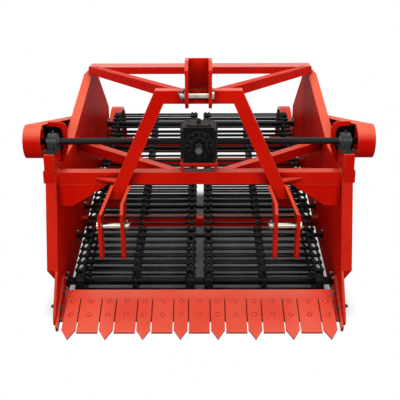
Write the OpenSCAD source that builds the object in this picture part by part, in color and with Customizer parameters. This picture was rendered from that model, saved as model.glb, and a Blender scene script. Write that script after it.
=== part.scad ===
// Cassava harvester for a tractor's three-point hitch, parked on its share and wheels.
// Millimetres, +Z up. The share points to -Y; left is -X, as seen by someone facing the share.
// The origin is on the ground, in the middle of the machine's length and width.

/* [Side plates] */
// Clear width between the two side plates
inner_w = 1360; // [1340:5:1400]
// Thickness of the side plates
side_t = 6; // [4:1:8]
// Width of the flange along the edges of the side plates
flange_w = 45; // [30:1:48]
// Height of the flat front part of the side plates
side_top = 720; // [700:1:740]
// Height of the apex of the side plates
apex_z = 964; // [930:1:1000]
// Distance from the share tips back to the apex
apex_back = 1560; // [1500:5:1600]

/* [Frame tubes] */
// Side of the square main cross beam
beam_s = 60; // [50:1:64]
// Distance from the share tips back to the main cross beam
beam_back = 348; // [340:1:370]
// How far the main beam stands out of each side plate
beam_out = 50; // [30:1:55]
// Depth of the flat rear beam
rear_beam_d = 150; // [80:1:160]
// Height of the flat rear beam
rear_beam_h = 44; // [30:1:60]
// Side of the square stays and braces
stay_s = 48; // [40:1:54]
// Side of the square tubes between the runs of the webs
mid_tube_s = 50; // [40:1:56]

/* [Hitch] */
// Distance between the middles of the two lower hitch points
hitch_span = 825; // [780:5:870]
// Height of the upper hitch pin over the lower ones
mast_h = 610; // [580:5:640]
// Height of the lower hitch pins
lower_pin_z = 485; // [470:1:500]
// Diameter of the lower hitch pins
lower_pin_d = 28; // [22:0.5:30]
// Diameter of the upper hitch pin
upper_pin_d = 25.4; // [19:0.2:28]
// Clear gap between the plates of a lower hitch point
lower_gap = 90; // [80:1:100]
// Clear gap between the plates of the upper hitch point
upper_gap = 90; // [70:1:100]
// Thickness of the hitch plates
hitch_t = 15; // [10:1:18]
// Side of the square mast tubes
mast_s = 60; // [50:1:64]
// Height of the mast's top over the upper hitch pin
bar_over = 19; // [10:1:25]
// Height of the head plates over the upper hitch pin
head_over = 156; // [145:1:180]

/* [Rod webs] */
// Distance from the share tips back to the front web shaft
front_back = 385; // [380:1:400]
// Height of the front web shaft
front_z = 115; // [110:1:120]
// Distance from the share tips back to the rear web shaft
rear_back = 2162; // [2120:2:2180]
// Height of the rear web shaft
rear_z = 495; // [485:1:515]
// Radius of the rods' path round the shafts
web_r = 70; // [66:1:74]
// Diameter of the rods
rod_d = 14; // [10:1:16]
// Rods in each web
rod_count = 68; // [60:1:76]
// Distance from the middle of the machine to each web
web_gap = 20; // [14:1:40]
// Clear gap between each web and its side plate
web_side = 50; // [40:1:70]
// Thickness of the strands that link the rods
strand_t = 10; // [6:1:10]
// Diameter of the web shafts
web_shaft_d = 40; // [30:1:45]

/* [Share] */
// Angle of the share to the ground
share_angle = 22; // [18:1:25]
// Clear gap between the row of tines and each side plate
share_side = 30; // [20:1:60]
// Length of the pointed tines
tine_len = 245; // [220:5:260]
// Length of the square plates
plate_len = 207; // [180:1:215]
// Width of the pointed tines
tine_w = 66; // [50:1:80]
// Gap between tines and plates
tine_gap = 5.5; // [3:0.5:8]
// Number of pointed tines
tine_count = 8; // [4:1:10]
// Thickness of the tines and plates
tine_t = 10; // [8:1:14]
// Thickness of the carrier plate under them
carrier_t = 12; // [8:1:16]
// Thickness of the cheeks at the ends of the share
cheek_t = 12; // [8:1:14]

/* [Drive] */
// Height of the cross shafts
drive_z = 850; // [840:1:870]
// Diameter of the cross shafts
drive_d = 32; // [25:1:38]
// Diameter of the splined input shaft
input_d = 35; // [30:1:38]
// Width of the gearbox
gearbox_w = 146; // [130:2:180]
// Depth of the gearbox
gearbox_d = 150; // [140:2:180]
// Height of the gearbox
gearbox_h = 170; // [150:2:180]
// Radius of the ends of the chain guards
guard_r = 80; // [76:1:90]
// Width of the chain guards
guard_w = 80; // [60:1:90]
// Thickness of the guards' sheet
guard_t = 3; // [2:0.5:4]
// Pitch radius of the chain sprockets
sprocket_r = 57; // [50:1:60]

/* [Wheels] */
// Diameter of the depth wheels
wheel_d = 540; // [500:5:550]
// Width of the depth wheels
wheel_w = 80; // [70:2:120]
// Distance from the share tips back to the wheel axles
axle_back = 2510; // [2500:2:2560]
// Distance from each side plate in to the middle of its wheel
wheel_in = 27; // [20:1:40]
// Diameter of the wheel axles
axle_d = 35; // [25:1:40]

/* [Hidden] */
$fn = 48;
seat_gap = 0.3;
run_fit = 0.05;

// Places along the machine, all from the share tips
tips_y = -(axle_back + wheel_d / 2) / 2;
beam_y = tips_y + beam_back;
apex_y = tips_y + apex_back;
half_in = inner_w / 2;
half_out = half_in + side_t;
web_w = half_in - web_side - web_gap;
share_w = inner_w - 2 * share_side;
wheel_x = half_in - wheel_in;
hanger_low = 320;
beam_under = 4;
beam_top = side_top - side_t - beam_under;
beam_mid_z = beam_top - beam_s / 2;

// Outline of a side plate in Y and Z, clockwise from the front top corner
brow_at = 340;
brow_y = tips_y + brow_at;
flat_at = 760;
flat_y = tips_y + flat_at;
tail_at = 2240;
tail_y = tips_y + tail_at;
tail_high = 610;
tail_mid = 420;
tail_cut = 50;
tail_cut_z = 385;
skirt_lip = 15;
skirt_rear = 90;
skirt_front = 210;
belly_in = 260;
belly_y = tail_y - belly_in;
belly_z = 355;
foot_rear_at = 470;
foot_rear_y = tips_y + foot_rear_at;
foot_front_at = 320;
foot_front_y = tips_y + foot_front_at;
foot_low = 45;
chin_at = 250;
chin_y = tips_y + chin_at;
chin_z = 110;
nose_at = 203;
nose_y = tips_y + nose_at;
nose_z = 262;
apex_tail = 30;
SIDE = [
    [brow_y, side_top], [flat_y, side_top], [apex_y, apex_z],
    [apex_y + rear_beam_d + apex_tail, apex_z], [tail_y, tail_high], [tail_y, tail_mid],
    [tail_y - tail_cut, tail_cut_z], [tail_y - skirt_rear, hanger_low - skirt_lip],
    [tail_y - skirt_front, hanger_low - skirt_lip], [belly_y, belly_z],
    [foot_rear_y, foot_low], [foot_front_y, foot_low],
    [chin_y, chin_z], [nose_y, nose_z]
];
// Corners of the outline that the flange follows, from its front low end to its rear low end
FLANGED = [13, 0, 1, 2, 3, 4];

// Web path: two shafts, the straight run between them and its directions
front_p = [tips_y + front_back, front_z];
rear_p = [tips_y + rear_back, rear_z];
run_len = norm(rear_p - front_p);
run_dir = (rear_p - front_p) / run_len;
run_up = [-run_dir[1], run_dir[0]];
run_angle = atan2(run_dir[1], run_dir[0]);
arc_len = PI * web_r;
path_len = 2 * (run_len + arc_len);
strand_w = 40;
mid_strand_w = 22;
strand_in = 5;
// Strand columns: middle of the strand across the machine, width
STRANDS = [
    [web_gap + strand_w / 2 + strand_in, strand_w],
    [web_gap + web_w / 2, mid_strand_w],
    [web_gap + web_w - strand_w / 2 - strand_in, strand_w]
];
roller_r = web_r - rod_d / 2 - seat_gap;
carrier_r = 35;
carrier_shaft_d = 25;
// Places of the carrier rollers along the run, from the front shaft
CARRIERS = [run_len * 0.2, run_len * 0.36, run_len * 0.56, run_len * 0.76];
carrier_drop = web_r - rod_d / 2 - seat_gap - carrier_r;
// Places of the tubes between the runs, from the front shaft
MID_TUBES = [run_len * 0.3, run_len * 0.68];

// Share plane: its back edge and its fall to the front
tine_back = 45;
tine_point = 55;
share_s = tine_len + tine_back;
share_fall = share_s * sin(share_angle);
share_run = share_s * cos(share_angle);
tine_pitch = (share_w - tine_w) / (tine_count - 1);
plate_w = tine_pitch - tine_w - 2 * tine_gap;
carrier_back = 18;
carrier_len = 175;
// Cheek seen from the side: distances along the share and heights over it
cheek_back = 50;
cheek_mid = 60;
cheek_front = 230;
cheek_high = 70;
cheek_mid_z = 55;
cheek_low_z = 18;

// Drive line
drive_behind = 52;
drive_y = beam_y + drive_behind;
mount_t = 12;
mount_top = drive_z - gearbox_h / 2;
drive_p = [drive_y, drive_z];
guard_clear = 9;
guard_x = half_out + flange_w + guard_clear;
chain_t = 12;
chain_w = 16;
sprocket_t = 10;
chain_in = 34;
chain_x = guard_x + chain_in;
journal_step = 2;
journal_d = input_d - journal_step;
input_flange = 14;
side_boss = 14;
side_boss_d = 96;
mount_lip = 8;
// Cover of the input bearing: flange, boss and ribs
cover_r = 66;
cover_t = 6;
cover_boss_r = 40;
cover_rib = 8;
// Square side covers, lid and filler plug of the gearbox
ear_s = 140;
ear_t = 9;
lid_w = 116;
lid_d = 116;
lid_t = 6;
plug_d = 22;
plug_h = 9;
input_out = 88;
input_in = 50;
shaft_tail = 20;
// Pillow blocks and the stands under them
bearing_h = 46;
bearing_w = 44;
bearing_out = 9;
bearing_x = half_out + bearing_out;
bearing_d = 80;
bearing_foot = 16;
bearing_l = 124;
stand_in = 5;
stand_x = half_out - stand_in;
stand_w = 50;
stand_l = 160;

// Wheel arms
axle_y = tips_y + axle_back;
axle_z = wheel_d / 2;
arm_s = 50;
arm_clear = 20;
arm_x = wheel_x - wheel_w / 2 - arm_clear - arm_s;
// The arm ends this far in front of the axle, inside the boss
arm_end = 14;
boss_r = 35;
boss_lip = 2;
// Wheel: rim with turned-in lips, disc and hub
rim_t = 9;
rim_lip = 12;
disc_t = 8;
hub_r = 42;
collar_h = 9;
collar_w = 10;
axle_tail = 16;
hanger_s = 60;
hanger_back = 180;
hanger_y = tail_y - hanger_back;
hanger_z = hanger_low;

// Mast: the legs lean out from the bar to the lower hitch points
mast_y = beam_y - mast_s;
upper_pin_z = lower_pin_z + mast_h;
bar_top = upper_pin_z + bar_over;
bar_low = bar_top - mast_s;
foot_up = 110;
foot_z = lower_pin_z + foot_up;
head_half = upper_gap / 2 + hitch_t;
bar_x = 178;
clevis_in = hitch_span / 2 - lower_gap / 2;
clevis_out = hitch_span / 2 + lower_gap / 2;
// The leg's slope, so that its inner face meets the inner hitch plate at the foot
leg_drop = bar_low + mast_s / 2 - foot_z;
leg_lean = clevis_in - bar_x;
leg_sq = mast_s * mast_s / 4;
leg_den = leg_drop * leg_drop - leg_sq;
leg_mix = leg_drop * leg_lean;
leg_tan = (leg_mix + sqrt(leg_mix * leg_mix - leg_den * (leg_lean * leg_lean - leg_sq))) / leg_den;
leg_half = mast_s / 2 * sqrt(1 + leg_tan * leg_tan);
// The pins stand in front of the beam and of the mast; the upper one's head clears the bar
lower_lead = 120;
upper_lead = 22;
lower_pin_y = beam_y - lower_lead;
upper_pin_y = mast_y - upper_lead;
pin_head = 10;
pin_collar = 12;
pin_tail = 22;
head_top = upper_pin_z + head_over;
// The head plates reach this far under the bar and in front of the pin
head_drop = 14;
head_lead = 34;
head_low_cut = 26;
head_top_cut = 38;
head_t = 12;
spare_up = 110;
// Distance between the holes of the lower hitch plates
hole_pitch = 42;
hitch_half = 38;
hitch_drop = 130;
hitch_low = lower_pin_z - hitch_drop;
hitch_high = 70;
hitch_heel = 60;
hitch_heel_up = 10;
hitch_up = 80;
foot_plate_t = 12;
foot_plate_in = 30;
// Corner plates behind the mast legs
gusset_t = 10;
gusset_w = 110;
gusset_in = 4;
// Seats of the rear beam, stays and braces
beam_seat = 6;
rear_over = 20;
stay_in = 11;
stay_up = 2;
stay_x = head_half + stay_s;
brace_side = 37;
brace_x = gearbox_w / 2 + brace_side;
brace_share = 0.9;
brace_back = half_in * brace_share;
// Ends and bearings of the web shafts and carrier rollers
web_shaft_out = 30;
carrier_out = 20;
web_bearing_r = 48;
web_bearing_w = 28;
carrier_bearing_r = 32;
carrier_bearing_w = 18;
// Points along the guard where bars from the side plate hold its rim: share of its length, side
GUARD_BARS = [[0.3, -1], [0.62, 1], [0.85, -1]];
guard_bar = 30;

paint_red = "#d3200f";
steel_black = "#1c1c1e";
pin_grey = "#9a948c";

// A drawing in Y and Z, given width w along X from x
module across(x, w) {
    translate([x, 0, 0]) rotate([90, 0, 90]) linear_extrude(w) children();
}

// A drawing in X and Z, given depth d along Y from y
module along(y, d) {
    translate([0, y + d, 0]) rotate([90, 0, 0]) linear_extrude(d) children();
}

// A shaft along X from x0 to x1 through point p in Y and Z
module rod_x(p, x0, x1, d) {
    translate([x0, p[0], p[1]]) rotate([0, 90, 0]) cylinder(d = d, h = x1 - x0);
}

// The right-hand shape, or its mirror image on the left
module sided(s) {
    mirror([s < 0 ? 1 : 0, 0, 0]) children();
}

// A loop round two points a and b in Y and Z, from radius r_in to r_out, of width w along X from x
module loop_band(a, b, r_in, r_out, x, w) {
    d = b - a;
    reach = norm(d);
    wall = r_out - r_in;
    translate([x, 0, 0]) rotate([90, 0, 90]) translate([a[0], a[1], 0]) rotate(atan2(d[1], d[0])) {
        for (low = [r_in, -r_out]) translate([0, low, 0]) cube([reach, wall, w]);
        for (end = [[0, 90], [reach, -90]]) translate([end[0], 0, 0]) rotate(end[1])
            rotate_extrude(angle = 180) translate([r_in, 0]) square([wall, w]);
    }
}

// A square tube with its middle line from point a to point b
module tube(a, b, s, extra) {
    d = b - a;
    flat = norm([d[0], d[1]]);
    translate(a) rotate([0, 0, atan2(d[1], d[0])]) rotate([0, -atan2(d[2], flat), 0])
        translate([-extra, -s / 2, -s / 2]) cube([norm(d) + 2 * extra, s, s]);
}

// Point of the rods' path at distance s from the start of the upper run
function on_arc(c, a) = c + web_r * [cos(a), sin(a)];
function web_point(s) =
    s < run_len ? front_p + run_dir * s + run_up * web_r
    : s < run_len + arc_len ? on_arc(rear_p, run_angle + 90 - (s - run_len) / web_r * 180 / PI)
    : s < 2 * run_len + arc_len ? rear_p - run_dir * (s - run_len - arc_len) - run_up * web_r
    : on_arc(front_p, run_angle - 90 - (s - 2 * run_len - arc_len) / web_r * 180 / PI);

// Point on the upper run at distance s from the front shaft, h under the shafts' line if negative
function run_point(s, h) = front_p + run_dir * s + run_up * h;

// Normal of the flanged edge after corner i, pointing into the plate
function edge_in(i) =
    let (d = SIDE[FLANGED[i + 1]] - SIDE[FLANGED[i]])
    [d[1], -d[0]] / norm(d);

// Corner i of the flange's inner face, mitred between the edges that meet there
function flange_in(i) =
    let (a = edge_in(max(i - 1, 0)), b = edge_in(min(i, len(FLANGED) - 2)))
    SIDE[FLANGED[i]] + side_t * (a + b) / (1 + a * b);

module side_plate() {
    color(paint_red) difference() {
        union() {
            across(half_in, side_t) polygon(SIDE);
            across(half_out, flange_w) polygon([
                for (i = FLANGED) SIDE[i],
                for (i = [len(FLANGED) - 1:-1:0]) flange_in(i)
            ]);
        }
        translate([half_in - 1, beam_y, beam_top - beam_s]) cube([side_t + 2, beam_s, beam_s]);
        rod_x(front_p, half_in - 1, half_out + 1, web_shaft_d + 2 * run_fit);
        rod_x(rear_p, half_in - 1, half_out + 1, web_shaft_d + 2 * run_fit);
        for (s = CARRIERS)
            rod_x(run_point(s, carrier_drop), half_in - 1, half_out + 1, carrier_shaft_d + 2 * run_fit);
    }
}

module main_beam() {
    reach = half_out + beam_out;
    color(paint_red) translate([-reach, beam_y, beam_top - beam_s]) cube([2 * reach, beam_s, beam_s]);
}

module rear_beam() {
    reach = half_in + rear_over;
    color(paint_red) translate([-reach, apex_y + beam_seat, apex_z])
        cube([2 * reach, rear_beam_d, rear_beam_h]);
}

module mid_tubes() {
    color(paint_red) for (s = MID_TUBES) {
        p = run_point(s, 0);
        translate([-half_in, p[0] - mid_tube_s / 2, p[1] - mid_tube_s / 2])
            cube([inner_w, mid_tube_s, mid_tube_s]);
    }
}

// Stay from the back of the mast to the front of the rear beam
module stay() {
    start = [stay_x, mast_y + mast_s, bar_top - stay_s / 2];
    end = [half_in - stay_in, apex_y + beam_seat, apex_z + stay_s / 2 + stay_up];
    color(paint_red) intersection() {
        tube(start, end, stay_s, stay_s);
        translate([0, start[1], 0]) cube([2 * half_in, end[1] - start[1], 2 * bar_top]);
    }
}

// Brace from the back of the main beam to the side plate
module brace() {
    start = [brace_x, beam_y + beam_s, beam_mid_z];
    end = [half_in, beam_y + brace_back, beam_mid_z];
    color(paint_red) intersection() {
        tube(start, end, stay_s, stay_s * 2);
        translate([0, start[1], 0]) cube([half_in, 2 * inner_w, side_top]);
    }
}

function leg_mid(z) = bar_x + (bar_low + mast_s / 2 - z) * leg_tan;

module mast_leg() {
    gusset_z = foot_z + hitch_up;
    outer = leg_mid(gusset_z) + leg_half - gusset_in;
    color(paint_red) {
        along(mast_y, mast_s) polygon([
            [head_half, bar_top], [leg_mid(bar_top) + leg_half, bar_top],
            [leg_mid(foot_z) + leg_half, foot_z], [leg_mid(foot_z) - leg_half, foot_z],
            [leg_mid(bar_low) - leg_half, bar_low], [head_half, bar_low]
        ]);
        translate([0, 0, gusset_z]) linear_extrude(gusset_t)
            polygon([[outer, mast_y], [outer + gusset_w, beam_y], [outer, beam_y]]);
    }
}

module mast_head() {
    low = bar_low - head_drop;
    front = upper_pin_y - head_lead;
    color(paint_red) difference() {
        union() {
            for (s = [-1, 1]) sided(s) across(upper_gap / 2, hitch_t) polygon([
                [front, low + head_low_cut], [front, head_top - head_top_cut],
                [front + head_top_cut, head_top], [beam_y, head_top],
                [beam_y, low], [front + head_low_cut, low]
            ]);
            translate([-upper_gap / 2, beam_y - head_t, bar_top])
                cube([upper_gap, head_t, head_top - bar_top]);
            translate([-upper_gap / 2, mast_y, bar_low]) cube([upper_gap, mast_s, mast_s]);
        }
        for (z = [0, spare_up])
            rod_x([upper_pin_y, upper_pin_z + z], -head_half - 1, head_half + 1,
                upper_pin_d + 2 * seat_gap);
    }
}

// Side view of a lower hitch plate: from the mast leg forward and down to the pin holes
module hitch_outline() {
    polygon([
        [beam_y, foot_z + hitch_high], [mast_y, foot_z + hitch_high],
        [lower_pin_y - hitch_half, lower_pin_z + hitch_high], [lower_pin_y - hitch_half, hitch_low],
        [lower_pin_y + hitch_half, hitch_low], [lower_pin_y + hitch_half, lower_pin_z - hitch_heel_up],
        [beam_y, foot_z - hitch_heel]
    ]);
    translate([lower_pin_y, hitch_low]) circle(hitch_half);
}

module lower_hitch() {
    top = foot_z + hitch_up;
    low = hitch_low - hitch_half;
    front = lower_pin_y - hitch_half;
    outer = leg_mid(top) + leg_half;
    inner = leg_mid(top) - leg_half;
    // The outer plate leaves the leg's slope where it reaches the full gap
    bend_z = foot_z - (clevis_out - leg_mid(foot_z) - leg_half) / leg_tan;
    color(paint_red) difference() {
        union() {
            intersection() {
                along(front, beam_y - front) {
                    polygon([
                        [outer, top], [outer + hitch_t, top], [clevis_out + hitch_t, bend_z],
                        [clevis_out + hitch_t, low], [clevis_out, low], [clevis_out, bend_z]
                    ]);
                    polygon([
                        [inner, top], [clevis_in, foot_z], [clevis_in, low], [clevis_in - hitch_t, low],
                        [clevis_in - hitch_t, foot_z], [inner - hitch_t, top]
                    ]);
                }
                across(0, half_in) hitch_outline();
            }
            along(beam_y - foot_plate_in, foot_plate_t) polygon([
                [clevis_in - hitch_t / 2, foot_z], [leg_mid(foot_z) + leg_half + hitch_t / 2, foot_z],
                [clevis_out + hitch_t / 2, bend_z], [clevis_in - hitch_t / 2, bend_z]
            ]);
        }
        for (i = [0:2])
            rod_x([lower_pin_y, lower_pin_z - hole_pitch * i], clevis_in - 2 * hitch_t,
                clevis_out + 2 * hitch_t, lower_pin_d + 2 * seat_gap);
    }
}

// A hitch pin along X from x0 to x1, with its head beyond x1
module hitch_pin(p, x0, x1, d) {
    color(pin_grey) {
        rod_x(p, x0 - pin_tail, x1 + pin_head, d);
        rod_x(p, x1, x1 + pin_head, d + pin_collar);
    }
}

module lower_pin() {
    hitch_pin([lower_pin_y, lower_pin_z], clevis_in - hitch_t, clevis_out + hitch_t, lower_pin_d);
}

module upper_pin() {
    hitch_pin([upper_pin_y, upper_pin_z], -head_half, head_half, upper_pin_d);
}

module gearbox_mount() {
    reach = gearbox_w / 2 + side_boss;
    depth = gearbox_d + 2 * mount_lip;
    color(paint_red) {
        translate([-reach, drive_y - depth / 2, mount_top - mount_t]) cube([2 * reach, depth, mount_t]);
        for (s = [-1, 1]) sided(s) translate([reach - mount_t, beam_y, beam_top])
            cube([mount_t, beam_s, mount_top - mount_t - beam_top]);
    }
}

module gearbox() {
    front = drive_y - gearbox_d / 2;
    top = mount_top + gearbox_h;
    color(steel_black) difference() {
        union() {
            translate([-gearbox_w / 2, front, mount_top]) cube([gearbox_w, gearbox_d, gearbox_h]);
            translate([0, front, drive_z]) rotate([90, 0, 0]) {
                cylinder(r = cover_r, h = cover_t);
                cylinder(r = cover_boss_r, h = input_flange);
                for (i = [0:5]) rotate(30 + 60 * i) translate([0, -cover_rib / 2, 0])
                    cube([cover_r - cover_rib, cover_rib, input_flange - cover_rib / 2]);
            }
            for (s = [-1, 1]) sided(s) translate([gearbox_w / 2, drive_y - ear_s / 2, drive_z - ear_s / 2])
                cube([ear_t, ear_s, ear_s]);
            rod_x(drive_p, -gearbox_w / 2 - side_boss, gearbox_w / 2 + side_boss, side_boss_d);
            translate([-lid_w / 2, drive_y - lid_d / 2, top]) cube([lid_w, lid_d, lid_t]);
            translate([0, drive_y, top + lid_t]) cylinder(d = plug_d, h = plug_h);
        }
        translate([0, front - input_flange + input_in + 1, drive_z]) rotate([90, 0, 0])
            cylinder(d = journal_d + 2 * run_fit, h = input_in + 2);
    }
}

module input_shaft() {
    face = drive_y - gearbox_d / 2 - input_flange;
    color(pin_grey) translate([0, face, drive_z]) rotate([90, 0, 0]) {
        translate([0, 0, seat_gap]) cylinder(d = input_d, h = input_out);
        translate([0, 0, -input_in]) cylinder(d = journal_d, h = input_in + seat_gap);
    }
}

module sprocket(p) {
    rod_x(p, chain_x - sprocket_t / 2, chain_x + sprocket_t / 2, 2 * (sprocket_r - chain_t / 2 - seat_gap));
}

module cross_shaft() {
    color(steel_black) {
        rod_x(drive_p, gearbox_w / 2 + side_boss, chain_x + shaft_tail, drive_d);
        sprocket(drive_p);
    }
}

module bearing_stand() {
    color(paint_red) translate([stand_x, drive_y - stand_l / 2, side_top])
        cube([stand_w, stand_l, drive_z - bearing_h - side_top]);
}

module pillow_block() {
    side = bearing_x - bearing_w / 2;
    low = drive_z - bearing_h;
    color(steel_black) difference() {
        union() {
            translate([side, drive_y - bearing_l / 2, low]) cube([bearing_w, bearing_l, bearing_foot]);
            rod_x(drive_p, side, side + bearing_w, bearing_d);
            translate([side, drive_y - bearing_d / 2, low]) cube([bearing_w, bearing_d, bearing_h]);
        }
        rod_x(drive_p, side - 1, side + bearing_w + 1, drive_d + 2 * run_fit);
    }
}

module chain_guard() {
    fall = (rear_p - drive_p) / norm(rear_p - drive_p);
    rise = [-fall[1], fall[0]];
    color(paint_red) {
        loop_band(drive_p, rear_p, guard_r - guard_t, guard_r, guard_x, guard_w);
        loop_band(drive_p, rear_p, 0, guard_r, guard_x + guard_w, guard_t);
        for (g = GUARD_BARS) {
            p = drive_p + (rear_p - drive_p) * g[0] + rise * g[1] * (guard_r - guard_t / 2);
            across(half_out, guard_x - half_out + guard_t) translate(p)
                rotate(atan2(fall[1], fall[0])) square([guard_bar, guard_t], center = true);
        }
    }
}

module drive_chain() {
    color(steel_black) loop_band(drive_p, rear_p, sprocket_r - chain_t / 2, sprocket_r + chain_t / 2,
        chain_x - chain_w / 2, chain_w);
}

// A shaft's rollers, one under each strand of both webs
module strand_rollers(p, r) {
    for (s = [-1, 1], c = STRANDS)
        sided(s) rod_x(p, c[0] - c[1] / 2, c[0] + c[1] / 2, 2 * r);
}

module front_web_shaft() {
    reach = half_out + web_shaft_out;
    color(steel_black) {
        rod_x(front_p, -reach, reach, web_shaft_d);
        strand_rollers(front_p, roller_r);
    }
}

module rear_web_shaft() {
    reach = chain_x + shaft_tail;
    color(steel_black) {
        rod_x(rear_p, -reach, reach, web_shaft_d);
        strand_rollers(rear_p, roller_r);
        for (s = [-1, 1]) sided(s) sprocket(rear_p);
    }
}

module carrier_rollers() {
    reach = half_out + carrier_out;
    color(steel_black) for (s = CARRIERS) {
        rod_x(run_point(s, carrier_drop), -reach, reach, carrier_shaft_d);
        strand_rollers(run_point(s, carrier_drop), carrier_r);
    }
}

module flange_bearing(p, d, r, w) {
    difference() {
        rod_x(p, half_out, half_out + w, 2 * r);
        rod_x(p, half_out - 1, half_out + w + 1, d + 2 * run_fit);
    }
}

module shaft_bearings() {
    color(steel_black) {
        for (p = [front_p, rear_p]) flange_bearing(p, web_shaft_d, web_bearing_r, web_bearing_w);
        for (s = CARRIERS) flange_bearing(
            run_point(s, carrier_drop), carrier_shaft_d, carrier_bearing_r, carrier_bearing_w);
    }
}

module web() {
    color(steel_black) {
        for (i = [0:rod_count - 1]) {
            p = web_point(i * path_len / rod_count);
            translate([web_gap, p[0], p[1]]) rotate([0, 90, 0]) cylinder(d = rod_d, h = web_w, $fn = 6);
        }
        for (c = STRANDS)
            loop_band(front_p, rear_p, web_r - strand_t / 2, web_r + strand_t / 2, c[0] - c[1] / 2, c[1]);
    }
}

// Lays a piece drawn flat (X across, Y forward from the back edge, Z up) on the share's slope
module on_share() {
    back_y = tips_y + share_run + tine_t * sin(share_angle);
    translate([0, back_y, share_fall]) rotate([share_angle, 0, 0]) mirror([0, 1, 0]) children();
}

module share_carrier() {
    color(paint_red) on_share() translate([cheek_t - half_in, -carrier_back, -carrier_t])
        cube([inner_w - 2 * cheek_t, carrier_len + carrier_back, carrier_t]);
}

module share_tines() {
    shoulder = tine_len - tine_point;
    color(paint_red) on_share() for (i = [0:tine_count - 1])
        translate([-share_w / 2 + tine_w / 2 + i * tine_pitch, tine_back, 0]) linear_extrude(tine_t)
            polygon([
                [-tine_w / 2, 0], [tine_w / 2, 0], [tine_w / 2, shoulder],
                [0, tine_len], [-tine_w / 2, shoulder]
            ]);
}

module share_plates() {
    color(paint_red) on_share() for (i = [0:tine_count - 2])
        translate([-share_w / 2 + tine_w + tine_gap + i * tine_pitch, tine_back, 0])
            cube([plate_w, plate_len, tine_t]);
}

module share_cheek() {
    color(paint_red) on_share() translate([half_in - cheek_t, 0, 0]) rotate([90, 0, 90])
        linear_extrude(cheek_t - seat_gap) polygon([
            [-cheek_back, cheek_high], [cheek_mid, cheek_mid_z], [cheek_front, cheek_low_z],
            [cheek_front, -carrier_t], [-cheek_back, -carrier_t]
        ]);
}

module wheel_hanger() {
    color(paint_red) translate([-half_in, hanger_y, hanger_z]) cube([inner_w, hanger_s, hanger_s]);
}

module wheel_arm() {
    start = [arm_x + arm_s / 2, hanger_y + hanger_s, hanger_z + hanger_s / 2];
    end = [arm_x + arm_s / 2, axle_y, axle_z];
    hub_in = wheel_x - wheel_w / 2 - seat_gap;
    hub_out = wheel_x + wheel_w / 2 + seat_gap;
    boss_in = arm_x - boss_lip;
    boss_out = arm_x + arm_s + boss_lip;
    axle_r = axle_d / 2;
    color(paint_red) {
        intersection() {
            tube(start, end, arm_s, arm_s);
            translate([0, start[1], 0])
                cube([half_in, end[1] - arm_end - start[1], hanger_z + 2 * hanger_s]);
        }
        translate([0, axle_y, axle_z]) rotate([0, 90, 0]) rotate_extrude() polygon([
            [0, boss_in], [boss_r, boss_in], [boss_r, boss_out],
            [axle_r + collar_h, boss_out], [axle_r + collar_h, hub_in],
            [axle_r, hub_in], [axle_r, hub_out],
            [axle_r + collar_h, hub_out], [axle_r + collar_h, hub_out + collar_w],
            [axle_r, hub_out + collar_w], [axle_r, hub_out + axle_tail], [0, hub_out + axle_tail]
        ]);
    }
}

module wheel() {
    rim_in = wheel_d / 2 - rim_t;
    bore_r = axle_d / 2 + run_fit;
    color(paint_red) translate([wheel_x, axle_y, axle_z]) rotate([0, 90, 0]) rotate_extrude($fn = 64) {
        polygon([
            [rim_in - rim_lip, -wheel_w / 2], [wheel_d / 2, -wheel_w / 2], [wheel_d / 2, wheel_w / 2],
            [rim_in - rim_lip, wheel_w / 2], [rim_in - rim_lip, wheel_w / 2 - rim_t],
            [rim_in, wheel_w / 2 - rim_t], [rim_in, disc_t / 2], [hub_r, disc_t / 2], [hub_r, wheel_w / 2],
            [bore_r, wheel_w / 2], [bore_r, -wheel_w / 2], [hub_r, -wheel_w / 2], [hub_r, -disc_t / 2],
            [rim_in, -disc_t / 2], [rim_in, rim_t - wheel_w / 2], [rim_in - rim_lip, rim_t - wheel_w / 2]
        ]);
    }
}

sided(-1) side_plate();  // side_plate_left
side_plate();  // side_plate_right
main_beam();
rear_beam();
mid_tubes();
sided(-1) stay();  // stay_left
stay();  // stay_right
sided(-1) brace();  // brace_left
brace();  // brace_right
sided(-1) mast_leg();  // mast_leg_left
mast_leg();  // mast_leg_right
mast_head();
sided(-1) lower_hitch();  // lower_hitch_left
lower_hitch();  // lower_hitch_right
sided(-1) lower_pin();  // lower_pin_left
lower_pin();  // lower_pin_right
upper_pin();
gearbox_mount();
gearbox();
input_shaft();
sided(-1) cross_shaft();  // cross_shaft_left
cross_shaft();  // cross_shaft_right
sided(-1) bearing_stand();  // bearing_stand_left
bearing_stand();  // bearing_stand_right
sided(-1) pillow_block();  // pillow_block_left
pillow_block();  // pillow_block_right
sided(-1) chain_guard();  // chain_guard_left
chain_guard();  // chain_guard_right
sided(-1) drive_chain();  // drive_chain_left
drive_chain();  // drive_chain_right
front_web_shaft();
rear_web_shaft();
carrier_rollers();
sided(-1) shaft_bearings();  // shaft_bearings_left
shaft_bearings();  // shaft_bearings_right
sided(-1) web();  // web_left
web();  // web_right
share_carrier();
share_tines();
share_plates();
sided(-1) share_cheek();  // share_cheek_left
share_cheek();  // share_cheek_right
wheel_hanger();
sided(-1) wheel_arm();  // wheel_arm_left
wheel_arm();  // wheel_arm_right
sided(-1) wheel();  // wheel_left
wheel();  // wheel_right
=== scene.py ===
"""Looks of a tractor-mounted cassava harvester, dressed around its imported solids.

The machine faces -Y, stands on Z = 0 and is in metres. Each sub-assembly has a class that builds
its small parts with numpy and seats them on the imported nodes. NodeDress gives the nodes their finish.
"""

import logging
import math
from dataclasses import dataclass
from enum import Enum
from typing import Dict, List, Optional, Sequence, Tuple, Union

import bpy
import numpy as np
from mathutils import Matrix


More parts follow.
